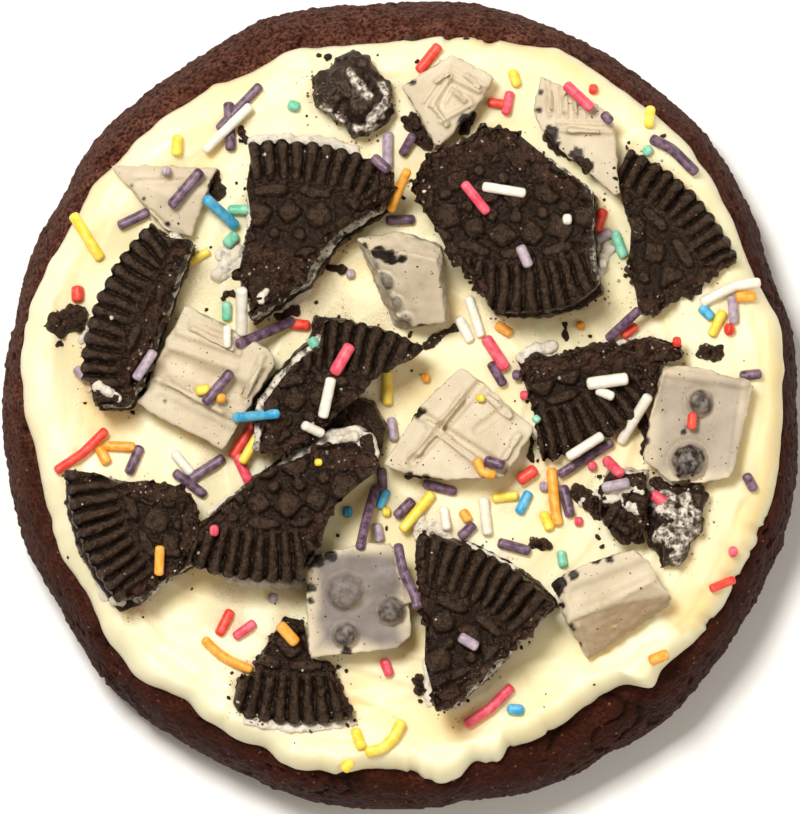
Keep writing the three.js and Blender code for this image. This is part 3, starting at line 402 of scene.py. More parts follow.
cookie_mesh, cookie_angle, cookie_ring = turned("cookie_crust", 1000, COOKIE_RINGS, cookie_section)
crust_points = points_of(cookie_mesh)
crag = 0.22 * ripple(crust_points, 5.0, 1) + 0.15 * ripple(crust_points, 2.2, 2) + 0.10 * ripple(crust_points, 0.9, 3)
crag += 0.30 * (0.45 - crumble(crust_points, 1.0, 8)) + 0.20 * (0.45 - crumble(crust_points, 0.62, 9))
bent_crust = crust_points + 0.35 * ripple(crust_points, 0.9, 10)[:, None]
pits = fade(0.36 - crumble(bent_crust, 1.3, 4), 0, 0.2) * fade(ripple(crust_points, 4.0, 5), 0.1, 0.5)
cracks = fade(0.09 - np.abs(ripple(crust_points, 4.6, 6)), 0, 0.09) * fade(ripple(crust_points, 8.0, 7), 0.0, 0.5)
crag -= 0.42 * pits + 0.30 * cracks + 0.02
crag *= fade(crust_points[:, 2], 0.1, 2.0) * fade(LEDGE_RING + 3 - cookie_ring, 0, 3)
crust_points += facings_of(cookie_mesh) * crag[:, None]
low, high = (np.array(corner) / MILLIMETRE - MEASURED_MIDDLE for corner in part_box("cookie_base"))
move_points(cookie_mesh, np.clip(crust_points, low, high))
# Painted shade in the pits and cracks, for the material.
note(cookie_mesh, "shade_in_pits_and_cracks", 0.8 * pits + 0.9 * cracks)
# Painted light: a mask that grows towards the upper left, where the window light falls.
note(cookie_mesh, "painted_light_upper_left", 0.75 * fade(crust_points[:, 1] - 0.45 * crust_points[:, 0] + 6 * ripple(crust_points, 7, 11), -14, 40))
lay("cookie_crust", cookie_mesh, baked_finish(), "cookie_base")


# ---- Frosting --------------------------------------------------------------------------------
# A coat of pale cream frosting, spread with a knife almost to the rim. It keeps the long strokes
# and lips of the knife, a soft round edge with a few notches, and sugary patches.

FROSTING_THICK = 3.2
FROSTING_SIDE, FROSTING_RINGS = 12, 122
KNIFE_LIPS = [
    ([(37.6, -8.5), (36.2, -12.6), (34.2, -16.6), (32.0, -20.3), (30.2, -22.4)], 1.5, -0.55),
    ([(36.4, 8), (37.0, 2), (36.6, -4), (35.2, -9)], 1.6, 0.30),
    ([(27.5, 25), (31.4, 19.5), (33.9, 14)], 1.8, 0.28),
    ([(2, 35), (10, 35.3), (17, 33.4), (23, 29.6)], 1.7, 0.30),
    ([(-28, 22.5), (-22.5, 28), (-15.5, 32), (-8, 34.2)], 1.7, 0.26),
    ([(-35.6, 9), (-36.0, 3), (-35.0, -3), (-33.6, -8)], 1.5, 0.32),
    ([(-29.0, -21.6), (-25.5, -25.2), (-21.0, -27.2)], 1.6, 0.60),
    ([(-32.4, -16.5), (-29.8, -21.5), (-25.5, -27), (-20.4, -30.6)], 1.2, 0.40),
    ([(-20.8, -27.6), (-18.2, -30.0), (-13.5, -32.6)], 1.4, 0.50),
    ([(-24.2, -22.4), (-20.8, -25.8), (-17.6, -28.8)], 1.3, 0.34),
    ([(-11, -35.3), (-4, -36.0), (2, -36.6), (6, -36.6)], 1.2, 0.40),
    ([(3.5, -35.2), (7.5, -34.6), (11.5, -32.9), (16, -30.4)], 1.4, 0.34),
    ([(9.6, -28.6), (12.6, -26.8), (16.2, -26.2), (19.6, -27.2)], 1.0, 0.24),
    ([(14, -31.4), (19, -28.8), (24.4, -26.4), (28.4, -23.2)], 1.5, 0.36),
    ([(31.4, -18.2), (30.0, -12.6), (31.6, -8.6)], 1.8, 0.26),
    ([(-20.5, 5.5), (-19.5, 11), (-18.4, 15.5)], 1.4, 0.24),
    ([(2.8, 9.5), (6.2, 6.2), (11.5, 7.4), (17.5, 9.6)], 1.6, 0.22),
    ([(-5, 9.6), (-6.4, 13.5), (-4.4, 17.4)], 1.5, 0.22),
    ([(-16, -20.5), (-13.6, -21.4), (-12.6, -26)], 1.3, 0.20),
    ([(3.4, -9.2), (9, -10.4), (14.4, -9.4), (18.5, -12.2)], 1.3, 0.22),
    ([(-30.6, -19.4), (-27.4, -20.8), (-24.6, -24.2), (-22.0, -25.4)], 0.7, 0.42),
    ([(-33.6, -6.4), (-34.2, -11.0), (-32.6, -18.4)], 1.2, 0.34),
    ([(-26.2, -28.2), (-21.2, -32.2), (-15.0, -35.4)], 0.9, 0.38),
    ([(-17.2, -31.8), (-11.4, -36.2)], 0.8, 0.34),
    ([(-30.4, 21.4), (-27.6, 24.8), (-25.0, 27.4)], 1.0, 0.30),
    ([(-13.4, 31.4), (-9.8, 33.2), (-9.6, 36.4)], 0.9, 0.28),
    ([(8.0, 36.4), (12.4, 36.2), (15.8, 35.2)], 0.8, 0.32),
    ([(21.6, 27.2), (25.2, 28.6), (29.2, 28.0)], 0.9, 0.26),
    ([(36.0, 12.8), (37.4, 8.8), (37.8, 5.2)], 0.8, 0.30),
    ([(25.8, -20.4), (28.6, -23.8), (25.4, -27.8)], 1.0, 0.36),
    ([(17.4, -27.6), (22.8, -27.4), (26.4, -24.6)], 0.8, 0.30),
]


def to_path(x, y, path):
    """Distance to a path of straight stretches, and which side of it a point is on."""
    nearest = np.full(len(x), 1e9)
    side = np.zeros(len(x))
    for (ax, ay), (bx, by) in zip(path, path[1:]):
        dx, dy = bx - ax, by - ay
        t = np.clip(((x - ax) * dx + (y - ay) * dy) / (dx * dx + dy * dy), 0, 1)
        away = np.hypot(x - ax - t * dx, y - ay - t * dy)
        here = np.sign(dx * (y - ay) - dy * (x - ax))
        side = np.where(away < nearest, here, side)
        nearest = np.minimum(nearest, away)
    return nearest, side


def slow_lumps(x, y, z, size, seed):
    total = np.zeros(len(x))
    for k in range(6):
        a = seed * 1.7 + k * 2.399
        wave = (x * math.cos(a) + y * math.sin(a) + z * math.cos(a * 1.3)) / size
        total += np.sin(wave * (1 + 0.27 * k) * 2 * math.pi + seed * (k + 1))
    return total / 3


def frosting_top(x, y):
    """Height of the spread frosting."""
    r = np.hypot(x, y)
    angle = np.arctan2(y, x)
    stroke = np.sin((r + 5 * np.sin(angle * 2 + 0.6)) * 2 * math.pi / 9 + angle * 2)
    top = COOKIE_HEIGHT + FROSTING_THICK + 0.22 * slow_lumps(x, y, 0 * x, 21, 5) + 0.28 * stroke * r / 40
    flat = np.stack([x, y, 0 * x], axis=1)
    top += 0.26 * ripple(flat, 6.5, 21) + 0.10 * ripple(flat, 2.6, 22) + 0.03 * ripple(flat, 1.1, 29)
    drawn = (r * 0.34 + 0.9 * ripple(flat, 12, 23)) % 1
    top += 0.30 * drawn**2 * fade(1 - drawn, 0, 0.12) * fade(ripple(flat, 13, 24), -0.4, 0.4)
    along_rim = np.stack([r, 9 * np.cos(angle), 9 * np.sin(angle)], axis=1)
    streak = (1 - np.abs(ripple(along_rim, 2.6, 30))) ** 9 + 0.6 * (1 - np.abs(ripple(along_rim, 1.5, 34))) ** 9
    top += 0.20 * streak * fade(r, 18, 34) * fade(ripple(flat, 6.0, 35), -0.3, 0.5)
    for path, width, height in KNIFE_LIPS:
        away, side = to_path(x, y, path)
        lean = np.where(side > 0, 0.45 * width, 2.6 * width)
        top += 1.5 * height * np.exp(-((away / lean) ** 2)) * (0.8 + 0.4 * ripple(flat, 3.0, 25))
    return top


def frosting_section(angle, ring):
    waver = np.stack([np.cos(angle) * 38, np.sin(angle) * 38, 0 * angle], axis=1)
    edge = frosting_edge(angle) + 0.30 * ripple(waver, 3.1, 26) + 0.14 * ripple(waver, 1.3, 27)
    edge -= 0.32 * fade(0.38 - crumble(waver, 2.1, 36), 0, 0.12) * fade(ripple(waver, 9, 37), 0.15, 0.5)
    inner = edge - 2.0 - 0.5 * ripple(waver, 4, 28)
    side = np.clip((ring - 1) / (FROSTING_SIDE - 1), 0, 1) * QUARTER
    spread = np.clip((FROSTING_RINGS - ring) / (FROSTING_RINGS - FROSTING_SIDE), 0, 1)
    below = 13.2 * (ring < 1)
    on_side = ring <= FROSTING_SIDE
    radius = np.where(on_side, inner + (edge - inner) * np.cos(side), inner * spread) * np.minimum(ring, 1)
    x, y = radius * np.cos(angle), radius * np.sin(angle)
    rim_x, rim_y = inner * np.cos(angle), inner * np.sin(angle)
    thick = frosting_top(rim_x, rim_y) - 13.4
    up = 13.4 + thick * np.sin(side) * (0.97 + 0.03 * (ring / FROSTING_SIDE))
    height = np.where(on_side, up, frosting_top(x, y))
    return radius, np.where(ring < 1, below, height)


frosting_mesh, frosting_angle, frosting_ring = turned("frosting_spread", 660, FROSTING_RINGS, frosting_section)


def frosting_finish():
    material, tree, shader = new_finish("frosting", Roughness=0.42, Specular_IOR_Level=0.42, Subsurface_Weight=0.45,
                                        Subsurface_Scale=0.004, Subsurface_Radius=(1.0, 0.75, 0.42))
    cream = blend_colours(tree, grouped(tree, MOTTLE, Size=14.0, Contrast=2.4), (0.920, 0.780, 0.450, 1), (0.970, 0.900, 0.640, 1))
    # Painted shade: the frosting is warmer and darker where it dips into hollows.
    cream = blend_colours(tree, marked(tree, "shade_in_hollows"), cream, (0.900, 0.680, 0.320, 1))
    cream = blend_colours(tree, marked(tree, "sugary"), cream, (0.860, 0.740, 0.480, 1))
    # Browner right beside the biscuits: partly crumb dust, partly painted shade at their feet.
    cream = blend_colours(tree, marked(tree, "crumb_dust_and_shade"), cream, (0.720, 0.540, 0.290, 1))
    dust = mathed(tree, "MULTIPLY", marked(tree, "near_crumbs"), grouped(tree, SPECKS, Spacing=0.45, Size=0.42))
    cream = blend_colours(tree, dust, cream, (0.035, 0.020, 0.014, 1))
    tree.links.new(cream, shader.inputs["Base Color"])
    rough = mathed(tree, "ADD", mathed(tree, "MULTIPLY", grouped(tree, MOTTLE, Size=6.0, Contrast=2.0), 0.22), 0.38)
    tree.links.new(rough, shader.inputs["Roughness"])
    place = add_node(tree, "TexCoord").outputs["Object"]
    fine = add_node(tree, "TexNoise", None, Vector=place, Scale=3400.0, Detail=2.0, Roughness=0.6)
    wide = add_node(tree, "TexNoise", None, Vector=place, Scale=420.0, Detail=3.0, Roughness=0.5)
    sugar = mathed(tree, "ADD", mathed(tree, "MULTIPLY", marked(tree, "sugary"), 2.4), 0.12)
    height = mathed(tree, "ADD", mathed(tree, "MULTIPLY", fine.outputs["Fac"], sugar), mathed(tree, "MULTIPLY", wide.outputs["Fac"], 0.7))
    bump = add_node(tree, "Bump", None, Strength=1.0, Distance=0.00011, Height=height)
    tree.links.new(bump.outputs["Normal"], shader.inputs["Normal"])
    return material


SUGARY_PATCHES = [
    (-31, 0.5, 6), (-22, -5.5, 5), (-20, 13, 5), (-14, -19, 5.5), (-2, 12, 6), (-8, 10.5, 4), (24, 12, 4),
    (26, 3.5, 4), (9, 10, 3.5), (1, -9, 4.5), (12, -8, 5), (-26, -21, 5), (-18, -21.5, 5), (20, 9, 3.5), (-1.5, 2, 3),
]
spread_points = points_of(frosting_mesh)
sugary = sum(fade(1 - np.hypot(spread_points[:, 0] - x, spread_points[:, 1] - y) / r, 0, 0.7) for x, y, r in SUGARY_PATCHES)
sugary *= fade(ripple(spread_points, 3.2, 31), -0.6, 0.4)
note(frosting_mesh, "sugary", sugary)
# Painted shade in the hollows, where the spread dips below its level.
valley = frosting_top(spread_points[:, 0], spread_points[:, 1]) - COOKIE_HEIGHT - FROSTING_THICK
note(frosting_mesh, "shade_in_hollows", 0.9 * fade(-valley, -0.35, 0.55))


def plan_points(start, ceiling):
    """Points in plan of the CAD nodes whose names start so, where they are below a height."""
    found = []
    for name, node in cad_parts.items():
        if name.startswith(start):
            place = points_of(node.data) / MILLIMETRE - MEASURED_MIDDLE
            found.append(place[place[:, 2] < ceiling][:, :2])
    return found


near_biscuits = plan_points("biscuit", 19.5)
beside = KDTree(sum(len(group) for group in near_biscuits))
for i, (x, y) in enumerate(np.concatenate(near_biscuits)):
    beside.insert((x, y, 0), i)
beside.balance()
away = np.array([beside.find((x, y, 0))[2] for x, y in spread_points[:, :2]])
on_top = frosting_ring > FROSTING_SIDE
note(frosting_mesh, "near_crumbs", fade(1.6 - away + 0.8 * ripple(spread_points, 2.0, 32), 0, 1.4) * on_top)
# Partly crumb dust and partly painted shade, in a band at the foot of each biscuit.
note(frosting_mesh, "crumb_dust_and_shade", 0.5 * fade(1.0 - away + 0.6 * ripple(spread_points, 1.5, 33), 0, 1.2) * on_top)
lay("frosting_spread", frosting_mesh, frosting_finish(), "frosting")


# ---- Embossed wafers -------------------------------------------------------------------------
# Each broken biscuit shows the embossed face of a dark baked wafer: fine ribs like spokes round
# the rim, then rings of plain lozenges and dots. It broke off short, so its sides are crumbly.

RIB_PITCH = math.radians(4)
RIB_INNER = 17.1
BISCUIT_RADIUS = 22.2
WAFER_THICK = 3.1
CREME_THICK = 2.1
GAP = 0.3
STUD_RINGS = [
    (16.3, 24, 0.0, 1.15, 3.5, 3.0), (14.3, 15, 0.0, 3.2, 3.3, 1.3), (14.3, 15, 0.5, 2.9, 2.9, 1.3), (12.45, 15, 0.25, 1.4, 1.4, 2.0),
    (12.45, 15, 0.75, 1.4, 1.4, 2.0), (10.4, 10, 0.0, 3.0, 3.2, 2.0), (10.4, 10, 0.5, 3.3, 3.1, 1.3), (8.6, 10, 0.25, 1.3, 1.3, 2.0),
    (8.6, 10, 0.75, 1.3, 1.3, 2.0), (6.7, 6, 0.0, 2.8, 4.2, 1.3), (6.7, 6, 0.5, 2.3, 2.3, 2.0), (4.7, 6, 0.5, 1.3, 1.3, 2.0),
    (3.0, 4, 0.0, 1.9, 1.9, 2.0), (3.0, 4, 0.5, 1.3, 1.3, 2.0),
]
BISCUITS = {
    "biscuit_lower_middle": dict(
        at=(-11, -9.5), hub=(-12.8, 4.3), turn=11, top=25.6, slope=(0.02, 0.05), layers=3, soiled=0.35,
        worn=[(-8, -5.2, -3.2, -5.4, 1.3, 0.5), (-20.6, -13, -17, -10, 0.7, 0.4), (-9.5, -13, -7, -10.5, 1.0, 0.5)]),
    "biscuit_middle": dict(
        at=(-6.5, 2.6), hub=(-8.4, -13.4), turn=40, top=25.0, slope=(-0.05, 0.06), layers=3,
        worn=[(-14, -4, -12.5, -1.5, 1.2, 0.6), (-12.4, -4.4, -8, -2.2, 0.9, 0.4), (2.5, 6.2, 1, 4.8, 0.9, 0.4)]),
    "biscuit_top_left": dict(
        at=(-9.5, 20), hub=(-12, 5), turn=4, top=24.9, slope=(0.01, -0.06), layers=3, rib_inner=18.2,
        worn=[(-15, 15, -11.5, 13.2, 3.1, 0.8), (-14.5, 11, -13.5, 13, 2.4, 1.1), (-9.6, 14, -2.4, 21.2, 1.3, 0.7),
              (-1.6, 22.6, -1.2, 24.2, 1.0, 0.5)]),
    "biscuit_top_right": dict(
        at=(11.5, 19), hub=(12, 32), turn=0, top=25.5, slope=(0.03, -0.05), layers=3,
        worn=[(4.5, 26.2, 9.5, 27.6, 2.4, 0.9), (9.5, 27.6, 14.2, 25.2, 1.9, 0.7), (15, 23.6, 17.4, 22.4, 1.3, 0.5),
              (2.2, 21.4, 2.4, 24.6, 0.9, 0.4), (5, 16.6, 8.6, 12.2, 0.7, 0.4)]),
    "biscuit_right_wedge": dict(
        at=(28, 17.6), hub=(14.3, 6.3), turn=3, top=19.6, slope=(0.03, -0.09), layers=1, rib_inner=18.4,
        worn=[(25.4, 10.4, 34, 14.6, 1.1, 0.5), (23.6, 14.6, 24.3, 10.6, 0.8, 0.4)]),
    "biscuit_left": dict(
        at=(-28, 9.2), hub=(-10.5, 2.5), turn=30, top=24.8, slope=(0.05, -0.03), layers=3, rib_inner=18.2,
        worn=[(-22.6, 15.8, -25.6, 7.5, 1.4, 0.6), (-25.6, 7.5, -28, 1.6, 1.3, 0.6)]),
    "biscuit_bottom_middle": dict(
        at=(7.5, -20.5), hub=(-0.8, -35.3), turn=8, top=25.3, slope=(0.03, 0.05), layers=3,
        worn=[(3.4, -30, 8.6, -27.6, 1.2, 0.7), (9, -26.8, 15.4, -20.4, 0.8, 0.5), (2.2, -16, 2.6, -24, 0.7, 0.4)]),
    "biscuit_lower_left": dict(
        at=(-27.5, -13.2), hub=(-12.1, -5.5), turn=62, top=24.2, slope=(-0.04, -0.03), layers=3,
        worn=[(-28.4, -8.2, -22.4, -8.8, 1.3, 0.5), (-21.2, -11, -21.4, -15.4, 1.5, 0.6), (-23.4, -16.6, -27.6, -19.2, 0.9, 0.5)]),
    "biscuit_right_middle": dict(
        at=(19.5, 1), hub=(10.6, 16.2), turn=22, top=20.2, slope=(-0.02, 0.17), layers=1,
        worn=[(13.4, 4.0, 20, 5.2, 1.5, 0.6), (20, 5.0, 28, 5.9, 1.6, 0.6), (25.6, 2.6, 26.6, 5.0, 1.2, 0.6)]),
    "biscuit_bottom_left": dict(
        at=(-10.8, -28), hub=(-10.2, -10.3), turn=2, top=19.4, slope=(0.02, 0.07), layers=1,
        worn=[(-13, -22.6, -16.2, -27.6, 0.8, 0.4), (-7, -27, -5.2, -31, 0.8, 0.4)]),
    "biscuit_right_broken": dict(
        at=(23.4, -11), hub=(7, -4), turn=50, top=21.2, slope=(0.02, 0.35), layers=2, soiled=0.5,
        worn=[(24.6, -8.4, 24.8, -13, 1.6, 0.5), (21.2, -8.4, 24.6, -8, 1.2, 0.4)]),
}


def refined(node, cell, smoothing=0):
    """A copy of a CAD node, merged, in millimetres about the measured middle, with even small cells."""
    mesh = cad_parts[node].data.copy()
    work = bmesh.new()
    work.from_mesh(mesh)
    bmesh.ops.remove_doubles(work, verts=work.verts, dist=1e-7)
    bmesh.ops.scale(work, vec=(1 / MILLIMETRE,) * 3, verts=work.verts)
    bmesh.ops.translate(work, vec=tuple(-MEASURED_MIDDLE), verts=work.verts)
    work.to_mesh(mesh)
    work.free()
    return evened(mesh, cell, smoothing)


def evened(mesh, cell, smoothing=0):
    """A closed mesh as one skin of even cells, its edges softened."""
    holder = bpy.data.objects.new("evening", mesh)
    bpy.context.collection.objects.link(holder)
    skin = holder.modifiers.new("cells", "REMESH")
    skin.mode = "VOXEL"
    skin.voxel_size = cell
    if smoothing:
        soften = holder.modifiers.new("soften", "SMOOTH")
        soften.factor = 0.5
        soften.iterations = smoothing
    fine = bpy.data.meshes.new_from_object(holder.evaluated_get(bpy.context.evaluated_depsgraph_get()))
    bpy.data.objects.remove(holder)
    for name in [mark.name for mark in fine.attributes if mark.name not in ("position",) and not mark.name.startswith(".")]:
        if fine.attributes[name].domain == "POINT":
            fine.attributes.remove(fine.attributes[name])
    fine.materials.clear()
    return fine


def tilt_of(slope):
    """Turn from a level piece to one that rises by slope per millimetre."""
    facing = Vector((-slope[0], -slope[1], 1)).normalized()
    return np.array(Vector((0, 0, 1)).rotation_difference(facing).to_matrix())


def embossing(x, y, rib_inner):
    """Height of the face of a whole wafer, and how raised each point is from 0 to 1."""
    r = np.hypot(x, y)
    angle = np.arctan2(y, x)
    phase = (angle / RIB_PITCH) % 1 - 0.5
    across = np.sqrt(np.clip(1 - (phase / 0.45) ** 2, 0, 1))
    along = fade(r, rib_inner - 0.3 + 1.6 * phase**2, rib_inner + 0.6 + 1.6 * phase**2)
    height = along * (1.28 * across - 0.70)
    for radius, count, start, length, width, power in STUD_RINGS:
        radius = radius + (rib_inner - RIB_INNER) * fade(radius, 10, 16)
        pitch = 2 * math.pi / count
        away = (angle - start * pitch + pitch / 2) % pitch - pitch / 2
        a, b = r * np.cos(away) - radius, r * np.sin(away)
        q = np.abs(2 * a / length) ** power + np.abs(2 * b / width) ** power
        stud = 1.12 * np.clip(1 - q**2.4, 0, 1) ** 0.5 - 0.42
        height = np.where((r < rib_inner) & (q < 1), np.maximum(height, stud), height)
    height = np.where((r < rib_inner) & (height == 0), -0.42, height)
    rim = np.clip((r - (BISCUIT_RADIUS - 1.1)) / 1.1, 0, 1)
    return height - 0.9 * (1 - np.sqrt(1 - 0.95 * rim**2)), np.clip((height + 0.5) / 0.95, 0, 1)


def shaped_wafer(node, plan, cell=0.17):
    """The embossed wafer of one broken piece, made from its CAD node."""
    mesh = refined(node, cell)
    origin = np.array([*plan["at"], plan["top"]])
    tilt = tilt_of(plan["slope"])
    seed = len(node) * 7 + int(plan["top"] * 10)
    own = (points_of(mesh) - origin) @ tilt
    facing = facings_of(mesh) @ tilt
    faces = [tuple(face.vertices) for face in mesh.polygons]
    core = BVHTree.FromPolygons(own.tolist(), faces)
    middle = -WAFER_THICK / 2
    inside = np.full(len(own), 2.0)
    pulled = own.copy()
    for i in np.nonzero(own[:, 2] > -1.0)[0]:
        spot = Vector((own[i, 0], own[i, 1], middle))
        found, normal, _, away = core.find_nearest(spot)
        if (spot - found).dot(normal) > 0:
            inside[i] = -away
            if away > 0.45:
                pulled[i, :2] = found.x, found.y
                pulled[i, 2] = -0.6
        else:
            inside[i] = away
    hub = np.array(plan["hub"]) - np.array(plan["at"])
    turn = math.radians(plan["turn"])
    x, y = own[:, 0] - hub[0], own[:, 1] - hub[1]
    u = x * math.cos(turn) + y * math.sin(turn)
    v = y * math.cos(turn) - x * math.sin(turn)
    r = np.hypot(u, v)
    bent = np.stack([u, v, 0 * u + seed], axis=1)
    u = u + 0.20 * ripple(bent, 2.0, 41)
    v = v + 0.20 * ripple(bent, 2.0, 42)
    relief, raised = embossing(u, v, plan.get("rib_inner", RIB_INNER))
    relief = relief * (0.88 + 0.24 * ripple(bent, 3.0, 43)) + 0.11 * ripple(bent, 0.9, 44) + 0.07 * ripple(bent, 0.45, 45)
    relief -= 0.26 * fade(0.30 - crumble(bent, 1.0, 54), 0, 0.16) * fade(ripple(bent, 3.0, 55), -0.3, 0.3)
    in_rim = fade(r, BISCUIT_RADIUS - 1.5, BISCUIT_RADIUS - 0.9)
    wide = 0.30 + 0.85 * np.clip(ripple(bent, 2.2, 46) + 0.4 * ripple(bent, 0.8, 47), 0, 1)
    chipped = fade(wide - inside, 0, 0.5) * (1 - in_rim)
    worn = np.zeros(len(own))
    deep = np.zeros(len(own))
    place = own @ tilt.T + origin
    rough = ripple(place, 1.3, 48) + 0.6 * ripple(place, 0.6, 49)
    for ax, ay, bx, by, reach, depth in plan["worn"]:
        away, _ = to_path(place[:, 0], place[:, 1], [(ax, ay), (bx, by)])
        share = fade(reach * (1 + 0.30 * rough) - away, 0, 0.5)
        deep = np.maximum(deep, share * depth)
        worn = np.maximum(worn, share)
    gritty = 0.7 * (0.45 - crumble(place, 1.2, 50)) + 0.7 * (0.45 - crumble(place, 0.6, 56))
    crumbly = -deep * (0.75 + 0.50 * rough) + 0.75 * gritty
    face = relief * (1 - worn) + crumbly * worn - 0.75 * chipped * (0.6 + 0.5 * rough)
    on_top = own[:, 2] > -0.35
    new = pulled
    new[on_top, 2] = np.where(pulled[on_top, 2] < -0.5, pulled[on_top, 2], face[on_top])
    side = fade(0.75 - np.abs(facing[:, 2]), 0, 0.3) * ~on_top
    ragged = 0.40 * ripple(place, 2.4, 51) + 0.28 * ripple(place, 1.0, 52) + 0.62 * (0.42 - crumble(place, 1.0, 53))
    ragged *= 1 + 0.9 * worn
    ragged = np.where(r > BISCUIT_RADIUS - 1.2, 0.22 * ragged, ragged - 0.16)
    scallop = 0.30 * (raised - 0.5) * in_rim * fade(own[:, 2], -2.2, -0.6)
    new[:, :2] += facing[:, :2] * ((ragged * side + scallop * side)[:, None])
    move_points(mesh, new @ tilt.T + origin)
    broken = np.maximum(np.where(on_top, np.maximum(worn, 0.8 * chipped), side * (r < BISCUIT_RADIUS - 0.9)), 0)
    # The raised share also sets the painted shade of the grooves in the wafer finish.
    note(mesh, "raised", np.where(on_top, raised * (1 - worn), 0.3 * side))
    note(mesh, "crumbly", broken)
    return mesh


def wafer_finish():
    material, tree, shader = new_finish("dark_wafer", Roughness=0.5, Specular_IOR_Level=0.50,
                                        Specular_Tint=(1.0, 0.70, 0.52, 1))
    # Painted shade: the grooves between ribs and studs are near black and the raised tops lighter.
    face = blend_colours(tree, marked(tree, "raised"), (0.0012, 0.0006, 0.0004, 1), (0.0120, 0.0063, 0.0038, 1))
    # Painted highlights: warm pale flecks on the raised tops.
    painted_highlights = mathed(tree, "MULTIPLY", marked(tree, "raised"), grouped(tree, MOTTLE, Size=0.6, Contrast=5.0))
    face = blend_colours(tree, mathed(tree, "MULTIPLY", painted_highlights, 0.46), face, (0.075, 0.046, 0.030, 1))
    inner = blend_colours(tree, grouped(tree, MOTTLE, Size=0.9, Contrast=5.0), (0.0050, 0.0022, 0.0014, 1), (0.0450, 0.0200, 0.0125, 1))
    face = blend_colours(tree, marked(tree, "crumbly"), face, inner)
    pale = mathed(tree, "MULTIPLY", marked(tree, "crumbly"), grouped(tree, SPECKS, Spacing=0.62, Size=0.30))
    face = blend_colours(tree, pale, face, (0.42, 0.33, 0.25, 1))
    face = blend_colours(tree, grouped(tree, SPECKS, Spacing=1.4, Size=0.12), face, (0.50, 0.43, 0.36, 1))
    tree.links.new(face, shader.inputs["Base Color"])
    rough = mathed(tree, "ADD", mathed(tree, "MULTIPLY", grouped(tree, MOTTLE, Size=0.7, Contrast=3.0), 0.26), 0.20)
    tree.links.new(rough, shader.inputs["Roughness"])
    tree.links.new(grouped(tree, GRAIN, Size=0.34, Depth=0.36), shader.inputs["Normal"])
    return material


WAFER_FINISH = wafer_finish()
for name, plan in BISCUITS.items():
    node = name + "_top"
    lay(node + "_wafer", shaped_wafer(node, plan, 0.17), WAFER_FINISH, node)


# ---- Lower wafers and creme ------------------------------------------------------------------
# Under its face a broken sandwich biscuit has a layer of white sugar creme and a second wafer.
# The creme smears and picks up dark crumbs where the biscuit broke; nothing but creme holds them.

def creme_finish():
    material, tree, shader = new_finish("creme", Roughness=0.62, Specular_IOR_Level=0.4, Subsurface_Weight=0.12,
                                        Subsurface_Scale=0.002, Subsurface_Radius=(1.0, 0.8, 0.6))
    white = blend_colours(tree, grouped(tree, MOTTLE, Size=2.0, Contrast=2.5), (0.700, 0.610, 0.480, 1), (0.900, 0.840, 0.720, 1))
    soiled = mathed(tree, "MULTIPLY", grouped(tree, MOTTLE, Size=1.0, Contrast=7.0), marked(tree, "crumbly"))
    white = blend_colours(tree, soiled, white, (0.016, 0.009, 0.006, 1))
    share = mathed(tree, "ADD", marked(tree, "crumbly"), 0.15, True)
    for spacing, size, dark in ((0.7, 0.50, (0.020, 0.012, 0.009, 1)), (0.3, 0.40, (0.060, 0.038, 0.030, 1))):
        dust = mathed(tree, "MULTIPLY", share, grouped(tree, SPECKS, Spacing=spacing, Size=size))
        white = blend_colours(tree, dust, white, dark)
    tree.links.new(white, shader.inputs["Base Color"])
    tree.links.new(grouped(tree, GRAIN, Size=0.5, Depth=0.20), shader.inputs["Normal"])
    return material


CREME_FINISH = creme_finish()
for name, plan in BISCUITS.items():
    for layer in ("creme", "under")[:plan["layers"] - 1]:
        node = f"{name}_{layer}"
        mesh = refined(node, 0.26, 1)
        place = points_of(mesh)
        facing = facings_of(mesh)
        side = fade(0.8 - np.abs(facing[:, 2]), 0, 0.4)
        bulge = 0.22 * ripple(place, 2.1, 61) + 0.15 * ripple(place, 0.9, 62) + 0.28 * (0.42 - crumble(place, 0.9, 63)) * side
        bulge += (0.10 if layer == "creme" else -0.05) * side
        move_points(mesh, place + facing * (bulge * (0.25 + 0.75 * side))[:, None])
        note(mesh, "crumbly", 0.85 * side if layer == "under" else np.full(len(place), plan.get("soiled", 0.9)))
        note(mesh, "raised", 0.35 + 0 * side)
        finish = CREME_FINISH if layer == "creme" else WAFER_FINISH
        lay(f"{node}_layer", mesh, finish, node)


# ---- Crumbled lumps --------------------------------------------------------------------------
# Two biscuits broke up altogether and lie as rough lumps of wafer crumb and smeared white creme.

LUMP_SMEARS = {
    "biscuit_top_lump": [(-5.2, 34.2, -3.4, 32.2, 0.55), (-2.8, 29.8, -1.2, 31.6, 0.6), (-7.6, 30.9, -6.2, 29.2, 0.5),
                         (-4.4, 28.6, -2.2, 28.9, 0.5), (-1.9, 33.1, -1.2, 32.2, 0.4)],
    "biscuit_right_lump": [(26.9, -9.6, 29.6, -12.6, 1.15), (29.6, -12.6, 28.4, -15.6, 0.7), (29.2, -9.4, 30.6, -11.2, 0.6),
                           (27.0, -13.2, 28.6, -14.0, 0.8)],
}


